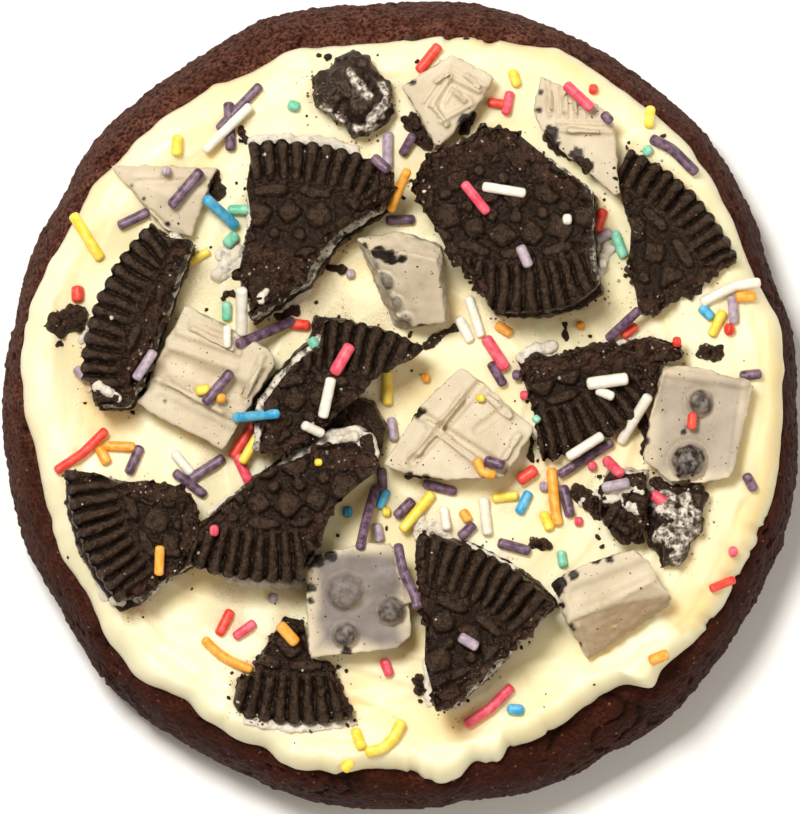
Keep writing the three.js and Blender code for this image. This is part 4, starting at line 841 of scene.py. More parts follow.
def lump_finish():
    material, tree, shader = new_finish("broken_biscuit", Roughness=0.42, Specular_IOR_Level=0.50,
                                        Specular_Tint=(1.0, 0.70, 0.52, 1))
    dark = blend_colours(tree, grouped(tree, MOTTLE, Size=1.0, Contrast=4.0), (0.0045, 0.0025, 0.0018, 1), (0.0260, 0.0150, 0.0105, 1))
    white = blend_colours(tree, grouped(tree, MOTTLE, Size=0.6, Contrast=6.0), (0.110, 0.090, 0.075, 1), (0.760, 0.690, 0.600, 1))
    face = blend_colours(tree, marked(tree, "smeared"), dark, white)
    face = blend_colours(tree, grouped(tree, SPECKS, Spacing=0.7, Size=0.22), face, (0.50, 0.44, 0.37, 1))
    tree.links.new(face, shader.inputs["Base Color"])
    tree.links.new(grouped(tree, GRAIN, Size=0.45, Depth=0.20), shader.inputs["Normal"])
    return material


LUMP_FINISH = lump_finish()
for node, smears in LUMP_SMEARS.items():
    mesh = refined(node, 0.17, 2)
    place = points_of(mesh)
    facing = facings_of(mesh)
    clods = 0.62 - crumble(place, 1.9, 71)
    craggy = 0.75 * clods + 0.30 * (0.45 - crumble(place, 0.8, 72)) + 0.15 * ripple(place, 0.6, 73)
    craggy = np.where(place[:, 2] < 17, 0.3 * craggy, craggy - 0.12)
    place = place + facing * craggy[:, None]
    smeared = np.zeros(len(place))
    for ax, ay, bx, by, reach in smears:
        away, _ = to_path(place[:, 0], place[:, 1], [(ax, ay), (bx, by)])
        uneven = 1 + 0.5 * ripple(place, 1.1, 74) + 1.1 * (crumble(place, 0.9, 75) - 0.45)
        smeared = np.maximum(smeared, fade(reach * uneven - away, 0, 0.25))
    smeared *= fade(facing[:, 2], -0.1, 0.3)
    place[:, 2] += 0.12 * smeared
    move_points(mesh, place)
    note(mesh, "smeared", smeared)
    lay(node + "_crumb", mesh, LUMP_FINISH, node)


# ---- White chunks ----------------------------------------------------------------------------
# Broken squares of moulded white bar with cookie crumbs in it. Most lie face up, with the mould's
# frames, ridges and grooves; two lie on their face and show a grey underside with round bumps.

# Raised and sunk lines: x, y, x, y, half width, height. Domes: x, y, radius, height.
CHUNKS = {
    "white_chunk_centre": dict(
        lines=[(8.6, 2.6, 1.3, -5.6, 0.55, -0.55), (2.2, -0.9, 11.2, -6.8, 0.55, -0.55), (10.6, -0.4, 8.0, -2.4, 0.5, -0.25),
               (0.6, -6.0, 2.8, -3.4, 0.6, 0.15)],
        dark=[(1.9, -0.5, 0.7), (0.9, -7.0, 0.5), (2.6, -7.3, 0.45), (13.6, -3.4, 0.5)]),
    "white_chunk_left": dict(
        lines=[(-23.4, 4.4, -16.6, 1.5, 1.2, -0.60), (-25.0, 2.9, -20.0, 0.3, 0.35, 0.25), (-20.0, 0.3, -16.6, -1.3, 0.35, 0.25),
               (-23.6, 6.2, -17.0, 4.0, 0.4, 0.22), (-22.8, 7.7, -16.6, 5.5, 0.35, 0.24), (-21.4, 9.0, -16.4, 7.2, 0.3, 0.2),
               (-14.2, 5.2, -16.0, 0.6, 0.4, 0.3), (-24.6, 0.8, -17.2, -2.8, 0.5, -0.14)],
        dark=[(-22.3, -3.4, 0.8), (-20.9, -4.2, 0.6), (-19.4, -4.7, 0.6), (-24.2, 0.6, 0.3), (-18.6, 9.2, 0.4)]),
    "white_chunk_middle": dict(
        lines=[(0.2, 15.6, 2.4, 8.8, 0.5, 0.12)],
        domes=[(-2.9, 14.6, 0.9, 0.3), (-1.7, 12.8, 1.2, 0.4), (-0.5, 10.6, 1.0, 0.35), (0.6, 9.0, 0.8, 0.3), (-1.2, 11.4, 0.7, 0.3)],
        dark=[(-2.2, 15.9, 0.8), (-0.9, 15.4, 0.9), (0.2, 15.2, 0.6), (-3.6, 16.6, 0.5), (2.2, 8.2, 0.6)], grey=0.1),
    "white_chunk_top": dict(
        lines=[(3.2, 31.0, 5.2, 34.0, 0.27, 0.34), (5.2, 34.0, 8.2, 32.5, 0.27, 0.34), (4.2, 29.4, 7.4, 31.2, 0.27, 0.34),
               (4.6, 31.3, 5.4, 32.6, 0.2, 0.25), (5.4, 32.6, 7.3, 31.6, 0.2, 0.25), (4.2, 31.0, 5.2, 33.3, 0.18, -0.2),
               (5.2, 33.3, 7.8, 32.0, 0.18, -0.2), (2.4, 31.4, 5.0, 35.0, 0.2, 0.2), (5.0, 35.0, 8.9, 33.0, 0.2, 0.2)],
        dark=[(6.8, 29.4, 0.9), (6.2, 28.6, 0.7), (7.5, 30.1, 0.5), (1.2, 33.4, 0.5)]),
    "white_chunk_top_right": dict(
        lines=[(15.2, 33.4, 15.4, 30.0, 0.2, 0.25), (16.1, 33.0, 16.3, 29.9, 0.2, 0.25), (17.0, 32.4, 17.2, 29.8, 0.2, 0.25),
               (17.9, 31.9, 18.1, 29.7, 0.2, 0.25), (18.8, 31.4, 19.0, 29.6, 0.2, 0.25), (16.2, 29.3, 21.6, 29.1, 0.2, 0.25),
               (16.4, 28.5, 21.8, 28.3, 0.22, 0.28)],
        dark=[(15.6, 28.0, 0.9), (15.9, 26.9, 0.7), (18.2, 25.9, 0.9), (19.4, 24.8, 0.8), (14.3, 30.6, 0.5), (14.5, 32.4, 0.4)]),
    "white_chunk_top_left": dict(
        lines=[(-27.2, 24.0, -19.6, 24.1, 0.6, 0.14), (-27.0, 23.2, -20.0, 23.2, 0.35, -0.12), (-25.7, 20.2, -23.8, 18.3, 0.2, -0.3)],
        dark=[(-19.2, 23.0, 0.7), (-19.0, 21.9, 0.6), (-27.6, 22.8, 0.3), (-26.4, 21.4, 0.3), (-24.0, 18.8, 0.4)]),
    "white_chunk_right": dict(
        domes=[(30.9, 0.4, 1.5, 0.40), (29.7, -5.6, 2.1, 0.50)],
        lines=[(27.0, 3.6, 35.4, 2.4, 0.5, 0.22), (35.4, 2.2, 34.2, -6.4, 0.5, 0.25), (25.8, -0.5, 27.0, 3.4, 0.4, 0.2)],
        dark=[(25.2, -2.0, 0.6), (25.3, -3.6, 0.6), (24.6, -5.4, 0.5), (29.2, -2.6, 0.35)], grey=0.45),
    "white_chunk_bottom": dict(
        domes=[(-5.6, -19.0, 2.1, 0.22), (-0.8, -21.0, 1.6, 0.34), (-5.6, -23.5, 1.5, 0.36)],
        lines=[(-1.6, -20.8, 0.2, -21.6, 0.3, 0.2), (-3.4, -18.4, 0.6, -17.0, 1.0, 0.15)],
        dark=[(-9.3, -18.6, 0.6), (-9.2, -20.0, 0.5), (-5.4, -25.2, 0.7), (0.7, -24.8, 0.7), (-8.8, -15.8, 1.1), (-7.2, -15.4, 0.8)],
        grey=0.85),
    "white_chunk_bottom_right": dict(
        lines=[(17.6, -21.6, 21.2, -20.2, 0.5, 0.16), (21.2, -20.2, 26.0, -17.6, 0.5, 0.16), (18.4, -19.4, 25.6, -16.6, 1.0, -0.35),
               (18.4, -22.6, 19.3, -25.6, 0.35, 0.35), (22.2, -22.8, 22.8, -24.0, 0.25, 0.3)],
        dark=[(16.2, -18.0, 1.2), (15.8, -19.2, 0.9), (17.8, -17.4, 0.7), (20.2, -15.8, 0.6), (21.6, -15.6, 0.5), (16.6, -20.4, 0.5),
              (17.6, -22.8, 0.5), (18.4, -24.6, 0.4)], tan=0.9),
}


def chunk_finish():
    material, tree, shader = new_finish("white_chunk", Roughness=0.5, Specular_IOR_Level=0.32, Subsurface_Weight=0.15,
                                        Subsurface_Scale=0.002, Subsurface_Radius=(1.0, 0.8, 0.6))
    white = blend_colours(tree, grouped(tree, MOTTLE, Size=4.0, Contrast=2.6), (0.530, 0.440, 0.305, 1), (0.660, 0.575, 0.425, 1))
    under = blend_colours(tree, grouped(tree, MOTTLE, Size=2.4, Contrast=2.5), (0.098, 0.080, 0.083, 1), (0.205, 0.170, 0.170, 1))
    white = blend_colours(tree, marked(tree, "greyed"), white, under)
    # Painted shade: faces turned down and to the right, away from the light, are browned.
    white = blend_colours(tree, marked(tree, "tan"), white, (0.400, 0.280, 0.165, 1))
    crumb = blend_colours(tree, grouped(tree, MOTTLE, Size=0.8, Contrast=4.0), (0.005, 0.0028, 0.0020, 1), (0.036, 0.021, 0.014, 1))
    white = blend_colours(tree, grouped(tree, SPECKS, Spacing=0.60, Size=0.22), white, (0.035, 0.024, 0.020, 1))
    white = blend_colours(tree, grouped(tree, SPECKS, Spacing=0.36, Size=0.24), white, (0.150, 0.110, 0.085, 1))
    domed = blend_colours(tree, grouped(tree, MOTTLE, Size=0.9, Contrast=6.0), (0.018, 0.013, 0.011, 1), (0.190, 0.160, 0.140, 1))
    white = blend_colours(tree, marked(tree, "domed"), white, domed)
    white = blend_colours(tree, marked(tree, "crumb"), white, crumb)
    tree.links.new(white, shader.inputs["Base Color"])
    rough = mathed(tree, "SUBTRACT", 0.56, mathed(tree, "MULTIPLY", marked(tree, "domed"), 0.06))
    tree.links.new(rough, shader.inputs["Roughness"])
    tree.links.new(grouped(tree, GRAIN, Size=0.9, Depth=0.05), shader.inputs["Normal"])
    return material


CHUNK_FINISH = chunk_finish()
for node, plan in CHUNKS.items():
    mesh = refined(node, 0.19, 4)
    place = points_of(mesh)
    facing = facings_of(mesh)
    up = fade(facing[:, 2], 0.3, 0.75)
    lift = 0.05 * ripple(place, 2.6, 81) + 0.03 * ripple(place, 0.9, 82)
    for ax, ay, bx, by, half, height in plan.get("lines", []):
        away, _ = to_path(place[:, 0], place[:, 1], [(ax, ay), (bx, by)])
        lift += 1.35 * height * np.exp(-((away / half) ** 4)) * up
    for cx, cy, radius, height in plan.get("domes", []):
        away = np.hypot(place[:, 0] - cx, place[:, 1] - cy)
        lift += height * (np.sqrt(np.clip(1 - (away / radius) ** 2, 0, 1)) - 0.5 * np.exp(-(((away - radius) / 0.35) ** 2))) * up
    side = fade(0.6 - facing[:, 2], 0, 0.3)
    rim = np.maximum(side, 0.8 * fade(0.98 - facing[:, 2], 0, 0.25))
    snapped = rim * (0.14 * ripple(place, 1.5, 83) + 0.34 * (0.40 - crumble(place, 1.1, 84)) - 0.03)
    uneven = 1 + 0.35 * ripple(place, 0.7, 85) + 0.25 * ripple(place, 0.35, 86)
    crumb = np.zeros(len(place))
    for cx, cy, radius in plan.get("dark", []):
        crumb = np.maximum(crumb, fade(radius * uneven - np.hypot(place[:, 0] - cx, place[:, 1] - cy), 0, 0.22))
    domed = np.zeros(len(place))
    for cx, cy, radius, height in plan.get("domes", []):
        away = np.hypot(place[:, 0] - cx, place[:, 1] - cy)
        domed = np.maximum(domed, fade(radius * (0.95 + 0.12 * ripple(place, 0.8, 89)) - away, 0, 0.35) * min(1.0, 2.2 * height))
    gritty = crumb * (0.12 * ripple(place, 0.5, 87) - 0.05) + domed * up * (0.16 * ripple(place, 0.9, 90) + 0.20 * (0.45 - crumble(place, 0.8, 91)))
    place = place + facing * (snapped + gritty)[:, None]
    place[:, 2] += lift * up
    move_points(mesh, place)
    note(mesh, "crumb", crumb)
    note(mesh, "domed", domed * up)
    # Painted shade on the faces turned away from the light, strongest on the bottom right chunk.
    shaded = facing @ np.array([0.45, -0.80, 0.20])
    note(mesh, "tan", plan.get("tan", 0.45) * fade(shaded, 0.45, 0.75))
    low, high = place.min(axis=0), place.max(axis=0)
    edge = np.minimum(np.minimum(place[:, 0] - low[0], high[0] - place[:, 0]), np.minimum(place[:, 1] - low[1], high[1] - place[:, 1]))
    note(mesh, "greyed", plan.get("grey", 0.0) * up * fade(edge + 0.5 * ripple(place, 2, 88), 0.5, 2.2))
    lay(node + "_bar", mesh, CHUNK_FINISH, node)


# ---- Creme smears and biscuit bits -----------------------------------------------------------
# Where the biscuits snapped, soft creme squeezed out and dark bits of wafer came away. They stuck
# to the frosting and to the broken edges where they fell.

CREME_SMEARS = [
    ([(-15.3, 9.8), (-13.9, 11.8)], 0.75), ([(-11.9, 10.7), (-9.8, 12.1)], 0.8), ([(-18.3, 13.9), (-16.7, 16.1)], 0.75),
    ([(20.5, 13.7), (21.3, 16.3)], 0.65), ([(-31.4, 2.3), (-29.2, 1.0)], 0.6), ([(-14.3, 0.3), (-12.4, 2.9), (-10.2, 4.8)], 0.6),
    ([(-12.2, -5.5), (-9.5, -4.4), (-7.0, -3.5), (-4.8, -3.1)], 0.5), ([(-9.8, -2.1), (-8.2, -2.9)], 0.45),
    ([(-19.6, -10.9), (-15.9, -8.5)], 0.4), ([(-18.1, -17.3), (-13.7, -18.4)], 0.45), ([(-31.0, -17.8), (-30.2, -19.4), (-28.7, -20.0)], 0.6),
    ([(1.9, -11.6), (2.4, -13.6)], 0.8), ([(3.5, -12.2), (4.9, -13.5)], 0.7), ([(5.4, -13.7), (9.8, -15.7), (11.8, -16.8)], 0.45),
    ([(2.8, -26.2), (3.0, -30.4)], 0.5), ([(12.6, 5.0), (14.2, 5.8), (15.8, 6.2)], 0.8), ([(20.9, 6.3), (23.5, 6.9)], 0.55),
    ([(-32.9, 6.8), (-32.3, 8.3)], 0.45), ([(19.0, -9.6), (21.2, -9.0)], 0.7), ([(25.6, -8.6), (27.0, -8.3)], 0.5),
    ([(-15.2, 27.3), (-12.0, 27.7), (-8.0, 27.3), (-4.8, 26.4)], 0.6),
    ([(-17.6, -17.6), (-15.6, -18.1), (-12.6, -18.4), (-9.6, -18.1)], 0.5), ([(-16.0, -32.3), (-13.2, -32.9), (-10.2, -33.1), (-7.2, -32.9), (-5.0, -32.4)], 0.45),
    ([(21.0, -9.4), (22.6, -9.6), (24.4, -10.6)], 0.6), ([(21.6, -8.4), (24.8, -8.6)], 0.5), ([(-18.8, 13.6), (-16.4, 14.6)], 0.8), ([(-18.6, 15.6), (-17.4, 16.4)], 0.6),
]
DARK_BITS = [
    ([(-5.2, -0.2), (-3.7, -2.4), (-2.8, -5.9)], 0.75), ([(-5.9, 14.2), (-7.2, 14.3)], 0.45), ([(17.0, 8.5), (17.1, 6.8)], 0.3),
    ([(-12.6, 9.3), (-10.6, 10.0)], 0.5), ([(13.2, 4.6), (14.4, 5.2)], 0.4), ([(18.4, -8.8), (20.6, -10.6)], 1.0),
    ([(26.3, -7.8), (28.8, -8.8)], 0.7), ([(13.4, -2.9), (13.6, -5.5)], 0.38), ([(2.8, 6.5), (5.6, 8.2)], 0.5),
    ([(-19.1, 23.6), (-18.8, 21.9)], 0.7), ([(24.9, -0.6), (25.4, -4.4)], 0.6), ([(0.6, -7.1), (4.2, -7.3)], 0.35),
    ([(-17.9, 11.4), (-17.2, 11.8)], 0.4), ([(-35.4, 8.5), (-33.6, 9.1)], 1.35), ([(-34.6, 9.9), (-32.6, 10.1)], 0.4),
    ([(-35.3, 6.4), (-34.8, 6.2)], 0.35), ([(0.2, 36.9), (1.4, 37.4)], 1.15), ([(31.3, 5.7), (32.4, 5.7)], 0.85),
    ([(13.8, -14.0), (15.0, -14.2)], 0.7), ([(1.3, 29.8), (2.6, 27.2)], 0.85), ([(0.9, 28.9), (3.2, 28.2)], 0.6),
    ([(-16.5, 28.5), (-16.0, 27.4)], 0.45), ([(2.0, -29.4), (2.0, -27.8)], 0.55), ([(7.2, 29.9), (6.6, 28.4)], 0.7),
    ([(15.2, 28.2), (16.2, 26.6), (18.4, 25.6), (20.0, 24.0)], 0.6),
]


def height_at(x, y, trees):
    """The highest surface under a point, or the frosting's mean height."""
    found = [tree.ray_cast(Vector((x, y, 60)), Vector((0, 0, -1)))[0] for tree in trees]
    return max((hit.z for hit in found if hit), default=COOKIE_HEIGHT)


def blob(work, place, size, detail=2):
    """Adds a ball, stretched to a size in each direction, at a place."""
    made = bmesh.ops.create_icosphere(work, subdivisions=detail, radius=1.0)["verts"]
    bmesh.ops.scale(work, vec=size, verts=made)
    bmesh.ops.translate(work, vec=place, verts=made)
    return made


def smeared_bits(name, paths, cell, finish, seed, slot, craggy):
    work = bmesh.new()
    for path, radius in paths:
        for (ax, ay), (bx, by) in zip(path, path[1:]):
            steps = max(2, round(math.dist((ax, ay), (bx, by)) / radius * 1.6))
            for k in range(steps + 1):
                x, y = ax + (bx - ax) * k / steps, ay + (by - ay) * k / steps
                spot = np.array([[x, y, 0.0]])
                across = radius * (1 + 0.3 * ripple(spot, 1.2, seed)[0])
                low_side = min(height_at(x + dx, y + dy, surfaces) for dx, dy in ((0, 0), (radius, 0), (-radius, 0), (0, radius), (0, -radius)))
                blob(work, (x, y, low_side + 0.15 * across), (across, across, across * 0.85))
    mesh = bpy.data.meshes.new(name)
    work.to_mesh(mesh)
    work.free()
    mesh = evened(mesh, cell)
    place = points_of(mesh)
    facing = facings_of(mesh)
    rough = 0.16 * ripple(place, 1.3, seed + 1) + 0.10 * ripple(place, 0.6, seed + 2) + craggy * (0.45 - crumble(place, 0.9, seed + 3))
    move_points(mesh, place + facing * rough[:, None])
    note(mesh, "crumbly", np.full(len(place), 0.15 if slot == "creme" else 0.6))
    note(mesh, "raised", np.full(len(place), 0.4))
    return lay(name, mesh, finish, None)


smeared_bits("creme_smears", CREME_SMEARS, 0.15, CREME_FINISH, 91, "creme", 0.36)
smeared_bits("wafer_bits", DARK_BITS, 0.15, WAFER_FINISH, 95, "dark_wafer", 0.65)


# ---- Sprinkles -------------------------------------------------------------------------------
# Sugar strands a millimetre thick, pressed and cut to uneven lengths with blunt ends, dropped on
# while the frosting was soft. They lie at all angles on frosting and toppings.

# Each strand: the points it runs through, then its thickness where that isn't the usual one.
STRAND_THICK = 1.08
SPRINKLES = {
    "plum": [
        (-20.6, 24.2, -23.5, 20.8), (-14.5, 33, -18.6, 28.7), (-17.65, 31.2, -17.45, 26.6), (-28.8, 18.7, -26.1, 20), (1.3, 27.9, 0.3, 26.1),
        (-2.65, 25.6, -1.3, 24.4), (-1.2, 19.2, 1.3, 19.3), (21, 30.1, 21.6, 29.45), (26, 27.6, 28, 26.6, 30.4, 24.2), (24.5, 9.9, 21.5, 7.1),
        (35.2, 3.2, 37, 3.4), (-16.6, 6.5, -11.1, 8.8), (9.4, 4.4, 10.6, 2.4), (11.8, 3.3, 12.2, 3.3), (-26.8, -4.2, -27.9, -6.7),
        (-23.1, -6.8, -20.2, -9), (-18.3, -5.3, -21.5, -7.4), (-2.5, -8.3, -3.4, -11.3, -4.1, -14.4), (-1.9, -6.5, -1.8, -8.4),
        (1.2, -9.7, -0.3, -11.2), (2.6, -7.9, 5.6, -8.7), (7.5, -12.2, 6.3, -13.3), (10.3, -14, 13.2, -14.8), (16.5, -6.9, 21.7, -3.7),
        (16.8, -8.3, 17.5, -11.1), (35.7, -7.1, 36.4, -8.4), (-0.2, -14.3, 0.3, -16.8, 1.5, -19.3, 1.8, -20.6),
    ],
    "lilac": [
        (-1.25, 28.1, -1.3, 24.6), (-33.3, 3.9, -32.3, 2.9), (-25.4, 5.6, -27.1, 3), (21, -8.3, 23.4, -7.8), (-0.9, -1.3, -0.6, -3.3),
        (-2.4, -12.2, -2.1, -13.7), (14.6, -8.2, 15, -8.2), (-13.1, -19.4, -13.1, -19.9), (6.3, -23.7, 7.8, -24.6), (34.2, 11.2, 34.4, 8.8),
        (20.3, 17.2, 21.6, 18), (12.4, 16.4, 13.2, 14.6), (-24.2, 24.3, -23.9, 24.3), (-5.3, 13.7, -4.9, 13.7),
    ],
    "red": [
        (3.9, 37.1, 2, 34.7), (9.25, 31.35, 10.6, 31.2), (19.7, 32.75, 20.1, 32.7), (20.9, 20.2, 20.3, 18.3), (24.2, 8.3, 23, 7.4),
        (28.3, 6.7, 28.7, 6.7), (33.7, 8, 34.1, 8, 1.35), (-33.2, 12.2, -33.2, 11.1, 1.35), (-11.6, 8.6, -9.5, 8.4),
        (-35.3, -6.5, -32.7, -4.8, -30.4, -2.5), (-15.2, -2, -17.2, -5), (12.4, -7.5, 13.8, -6.5, 1.3), (30.1, -0.8, 30, -2.1),
        (32.1, -18.7, 34.3, -17.8, 0.9), (-17.5, -21.1, -18.6, -23.3),
    ],
    "pink": [
        (11.3, 32.3, 10.9, 30.3), (17.15, 33.1, 19.6, 30.8), (6.65, 22.9, 8.9, 20.1), (-5.2, 6.2, -6.7, 3.6, 1.3), (8.9, 7, 10.8, 4.1, 1.2),
        (12.6, 1.2, 13, 1.2), (-16.8, -5, -15.6, -7.6), (-19.3, -12.7, -18.9, -12.7, 1.2), (19.6, -6.1, 20, -6.1), (21.3, -5.5, 22.7, -6.9),
        (26.1, -9, 27.2, -9.9, 1.2), (18.2, -11.8, 18.6, -11.8), (34.1, -14.9, 34.5, -14.9), (-15.1, -22.3, -16.9, -23.6),
        (-1.6, -26.2, -1.1, -27.5), (6.9, -32.6, 9.3, -31, 11.4, -28.9),
    ],
    "orange": [
        (0.7, 24.2, -0.9, 20.4), (10.1, 8.4, 11.3, 7.6), (18.4, 8.4, 18.8, 8.4, 0.9), (2.45, 3, 2.85, 3), (36.4, 11.4, 34.8, 11.3),
        (-18.7, 0.9, -18.2, 0.9), (-30.2, -4, -27.5, -4.1), (-30.9, -4.3, -30.2, -5.7), (-24.7, -14.5, -24.8, -17.1), (6.5, -10.8, 7, -11.6),
        (15.6, -6.5, 16, -10.9, 16.3, -12), (-20.1, -24, -18.9, -25.2, -17.4, -26.2, -15.4, -27), (-12.3, -22.5, -10.8, -24.2, 1.2),
        (25.9, -26.1, 27.4, -25.5, 1.2), (7.9, -5.5, 8.5, -6.8, 9.6, -7),
    ],
    "yellow": [
        (-22.9, 27.8, -23, 26.1), (11.6, 34.5, 12, 33.2), (25.8, 30.7, 25.6, 29), (-33.6, 19.7, -30.9, 15.4), (-21.6, 14.9, -19.8, 16, 0.9),
        (-1.3, 3.5, -1.3, 0.4), (8.1, 0.9, 8.5, 0.9, 0.8), (33.2, 9.7, 32.1, 7.5), (-20.8, 1.7, -19.8, 1.8), (-8.6, -5.7, -8.2, -5.7, 0.8),
        (-1.6, -10.8, -1.2, -10.8), (3.2, -9, 0.3, -12.6), (11.9, -9.1, 9.7, -9.4), (14.8, -11, 15.4, -12.5), (-4.6, -33.3, -4, -35),
        (-3.3, -35.5, -1.8, -35.2, -0.6, -34, 0.1, -32.5, 1.25), (-5.7, -37.3, -5.1, -36.6),
    ],
    "blue": [
        (31.1, 10.2, 32, 9.3), (-1.4, -8.7, -2.1, -10.2), (-5.6, -10.8, -5.2, -10.8, 1.25), (13.2, -8.9, 12.3, -10.8), (11.3, -31.1, 12.5, -31.2, 1.2),
    ],
    "teal": [
        (-11.3, 31.1, -10.6, 30.9), (25.3, 26.2, 25.7, 26.6), (-17.5, 20.3, -15.2, 20.3), (-17.8, 16.8, -17, 17.6, 1.2), (-17.85, 10.6, -17.85, 9.1),
        (-9.1, 6.9, -8.7, 6.3), (22.1, 17.9, 23, 15.6), (16.6, -15, 16.8, -16.3), (13.9, -1.1, 14.2, -1.4, 0.8),
    ],
    "white": [
        (8.7, 22.65, 12.7, 22), (17, 19.3, 17.4, 19.3, 1.2), (20.7, 14.8, 21, 14.8), (7.1, 11.2, 8.3, 7.4), (6.1, 9, 7.2, 6.9),
        (19.5, 2.4, 23.2, 2.9, 1.3), (20.4, 1.7, 21.8, 1.1), (25.5, 1, 22.8, -3.5), (36.9, 12.8, 34.5, 12.5, 32.5, 11.5, 31.2, 10.8),
        (-17.8, 8.2, -17.8, 6.3, 0.9), (-7.1, 2.8, -7.9, -0.9), (-9.8, -1.9, -8.1, -2.7), (-23.2, -4.8, -21.6, -6.7), (8.6, -9.5, 9, -13),
        (4.5, -10.5, 4.8, -12.5),
    ],
}
SPRINKLES_ON_OTHERS = {
    "plum": [(-17.5, 3.5, -20, 0.5), (8.9, -5.5, 10.5, -6)],
    "white": [(-15.5, 30.9, -20, 26.5), (-16.3, 12, -16.3, 7.7, 1.2), (17.4, -5.1, 20.7, -3)],
    "yellow": [(-14.5, -2.7, -16.2, -5.6)],
    "blue": [(-19.9, 21.4, -17, 18.7), (-16.9, -1.1, -12.7, -0.7)],
}
STRAND_COLOURS = {
    "plum": ((0.075, 0.036, 0.066), (0.230, 0.145, 0.205)), "lilac": ((0.330, 0.255, 0.330), (0.520, 0.430, 0.480)),
    "red": ((0.800, 0.036, 0.024), (0.880, 0.100, 0.060)), "pink": ((0.800, 0.055, 0.105), (0.860, 0.160, 0.210)),
    "orange": ((0.900, 0.320, 0.020), (0.940, 0.480, 0.090)), "yellow": ((0.930, 0.650, 0.030), (0.960, 0.770, 0.150)),
    "blue": ((0.030, 0.330, 0.640), (0.150, 0.520, 0.720)), "teal": ((0.150, 0.560, 0.360), (0.330, 0.700, 0.520)),
    "white": ((0.800, 0.740, 0.600), (0.910, 0.870, 0.770)),
}


def strand_finish(name, low_tone, high_tone):
    material, tree, shader = new_finish("sprinkle_" + name, Roughness=0.42, Specular_IOR_Level=0.45, Subsurface_Weight=0.10,
                                        Subsurface_Scale=0.001)
    tone = blend_colours(tree, grouped(tree, MOTTLE, Size=0.8, Contrast=4.5), (*low_tone, 1), (*high_tone, 1))
    tree.links.new(tone, shader.inputs["Base Color"])
    tree.links.new(grouped(tree, GRAIN, Size=0.4, Depth=0.04), shader.inputs["Normal"])
    return material


def strand_path(strand, trees):
    """The middle line of a strand as it rests on what lies under it, and its thickness."""
    thick = strand[-1] if len(strand) % 2 else STRAND_THICK
    flat = [Vector((strand[k], strand[k + 1])) for k in range(0, len(strand) - 1, 2)]
    spans = [(b - a).length for a, b in zip(flat, flat[1:])]
    whole = sum(spans)
    count = max(3, round(whole / 0.6) + 1)
    places = []
    for k in range(count):
        along = whole * k / (count - 1)
        span = 0
        while span < len(spans) - 1 and along > spans[span]:
            along -= spans[span]
            span += 1
        places.append(flat[span].lerp(flat[span + 1], min(along / spans[span], 1)))
    rest = [max(height_at(p.x + dx, p.y + dy, trees) for dx, dy in ((0, 0), (0.3, 0), (-0.3, 0), (0, 0.3), (0, -0.3))) for p in places]
    half = max(1, count // 2)
    ends = [max(rest[:half]), max(rest[-half:])]
    if abs(ends[0] - ends[1]) > 1.1 * whole:
        ends = [min(ends)] * 2
    middle = max(rest[half:-half], default=min(ends))
    lift = min(max(0.0, middle - sum(ends) / 2), 0.5)
    up = [ends[0] + (ends[1] - ends[0]) * k / (count - 1) + lift for k in range(count)]
    ceiling = cad_box[1][2] / MILLIMETRE - 0.56 * thick
    return [Vector((p.x, p.y, min(z + 0.42 * thick, ceiling))) for p, z in zip(places, up)], thick


def strand(work, path, thick, seed):
    """Adds one strand: a ball drawn out along its path, with blunt ends."""
    made = bmesh.ops.create_uvsphere(work, u_segments=14, v_segments=16, radius=1.0)["verts"]
    length = sum((b - a).length for a, b in zip(path, path[1:]))
    uneven = 1 + 0.06 * math.sin(seed * 2.3)
    last = len(path) - 1
    for vert in made:
        t = max(-1.0, min(1.0, vert.co.z))
        angle = math.atan2(vert.co.y, vert.co.x)
        body = max(length - thick * 0.35, 0.0) / 2
        cap = min(thick * 0.42, length / 2 + 0.3)
        ring = math.acos(t) / math.pi * 16 - 8
        share = math.sin(max(0.0, abs(ring) - 4) / 4 * QUARTER)
        along = body * max(-1.0, min(1.0, ring / 4)) + cap * math.copysign(share, ring)
        across = thick / 2 * uneven * max(0.0, 1 - share**3) ** 0.42 * (1 + 0.015 * math.sin(1.7 * ring + seed))
        at = (along / max(length, 0.01) + 0.5) * last
        span = max(0, min(last - 1, int(at)))
        here = path[span].lerp(path[span + 1], at - span)
        course = (path[min(span + 2, last)] - path[max(span - 1, 0)]).normalized()
        side = course.cross(Vector((0, 0, 1))).normalized()
        above = side.cross(course)
        vert.co = here + side * (across * math.cos(angle)) + above * (across * math.sin(angle))
    return made


def lay_strands():
    works = {name: bmesh.new() for name in STRAND_COLOURS}
    trees = list(surfaces)
    seed = 0
    for layer in (SPRINKLES, SPRINKLES_ON_OTHERS):
        for name, strands in layer.items():
            for one in strands:
                seed += 1
                path, thick = strand_path(one, trees)
                strand(works[name], path, thick, seed)
        trees = list(surfaces) + [BVHTree.FromBMesh(work) for work in works.values()]
    for name, work in works.items():
        bmesh.ops.recalc_face_normals(work, faces=work.faces)
        mesh = bpy.data.meshes.new("sprinkles_" + name)
        work.to_mesh(mesh)
        work.free()
        lay("sprinkles_" + name, mesh, strand_finish(name, *STRAND_COLOURS[name]), rests=False)


lay_strands()


# ---- Crumbs ----------------------------------------------------------------------------------
# Loose dark crumbs of wafer, and a few of creme, that broke off as the biscuits were pressed in.
# They lie thickest beside the broken edges and stick to the frosting.

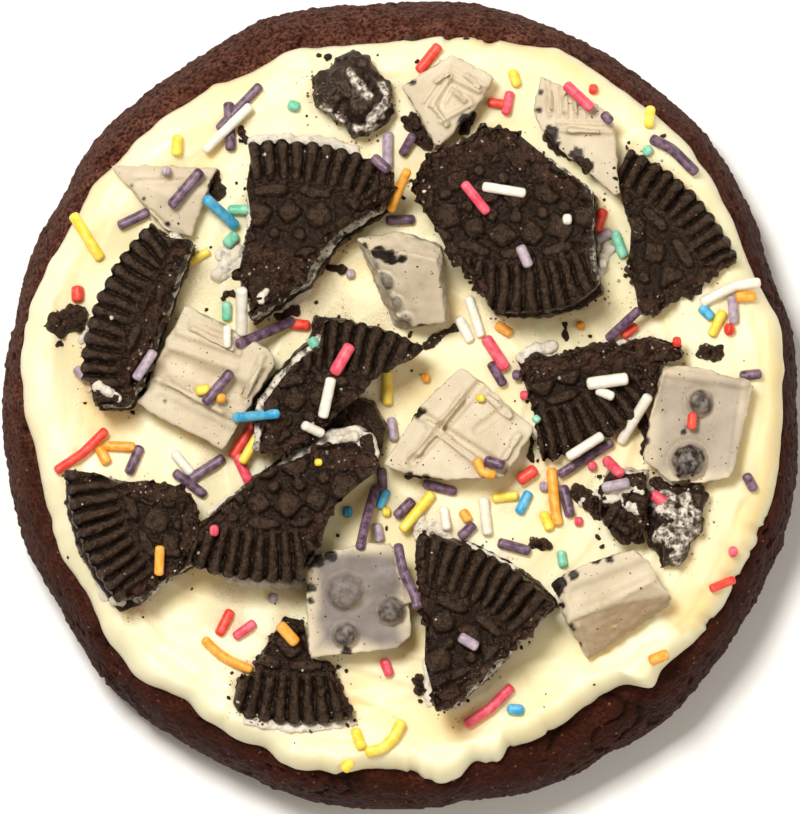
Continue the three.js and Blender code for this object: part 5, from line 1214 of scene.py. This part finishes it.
LARGE_CRUMBS = [
    (1.8, 35.6, 0.35), (6.8, 37.9, 0.35), (27.1, 27.9, 0.4), (-16.2, 28.4, 0.45), (-16.4, 27.4, 0.35), (-33.6, -12.6, 0.3),
    (-33.3, -14, 0.25), (-32.7, -15.3, 0.3), (-34.2, -15.5, 0.2), (-34.4, -9.8, 0.25), (-27.5, -0.6, 0.3), (-1.4, -12.5, 0.3),
    (20.4, -13.4, 0.4), (20.8, -14.4, 0.35), (1.6, -28.3, 0.5), (2.1, -30.3, 0.4), (2.3, -29.2, 0.45), (-6.4, -26.7, 0.35),
    (-5.5, -27.2, 0.3), (-19.9, 10, 0.3), (-8.4, 36.2, 0.4), (-7.4, 36.0, 0.5), (-6.4, 35.8, 0.35), (-18.2, 11.2, 0.3),
    (0.6, 29.6, 0.55), (2.1, 27.8, 0.5), (1.2, 28.8, 0.4), (31.4, 5.9, 0.7), (32.4, 5.4, 0.6), (14.0, -13.9, 0.5), (15.0, -14.3, 0.45),
]
CRUMB_SEED = 20


def lay_crumbs():
    draw = np.random.default_rng(CRUMB_SEED)
    dark, pale = bmesh.new(), bmesh.new()
    spots = [(x, y, size, dark) for x, y, size in LARGE_CRUMBS]
    edges = np.concatenate([near_biscuits[k] for k in range(len(near_biscuits))])
    for _ in range(620):
        x, y = edges[draw.integers(len(edges))] + draw.normal(0, 0.85, 2)
        size = 0.07 + 0.24 * draw.random() ** 3
        if math.hypot(x, y) < 36.5:
            spots.append((x, y, size, dark if draw.random() < 0.86 else pale))
    for _ in range(110):
        angle, r = draw.random() * 2 * math.pi, 36 * math.sqrt(draw.random())
        spots.append((r * math.cos(angle), r * math.sin(angle), 0.06 + 0.09 * draw.random() ** 2, dark))
    for x, y, size, work in spots:
        z = height_at(x, y, surfaces)
        made = blob(work, (0, 0, 0), (size, size * draw.uniform(0.65, 1), size * draw.uniform(0.5, 0.9)), 1)
        for vert in made:
            vert.co *= draw.uniform(0.62, 1.30)
        bmesh.ops.rotate(work, verts=made, matrix=Matrix.Rotation(draw.uniform(0, math.pi), 3, "Z"))
        bmesh.ops.translate(work, verts=made, vec=(x, y, z + 0.3 * size))
    for name, work, finish, slot in (("dark_crumbs", dark, WAFER_FINISH, "dark_wafer"), ("creme_crumbs", pale, CREME_FINISH, "creme")):
        mesh = bpy.data.meshes.new(name)
        work.to_mesh(mesh)
        work.free()
        note(mesh, "crumbly", np.full(len(mesh.vertices), 0.55))
        note(mesh, "raised", np.full(len(mesh.vertices), 0.3))
        lay(name, mesh, finish, None, False)


lay_crumbs()
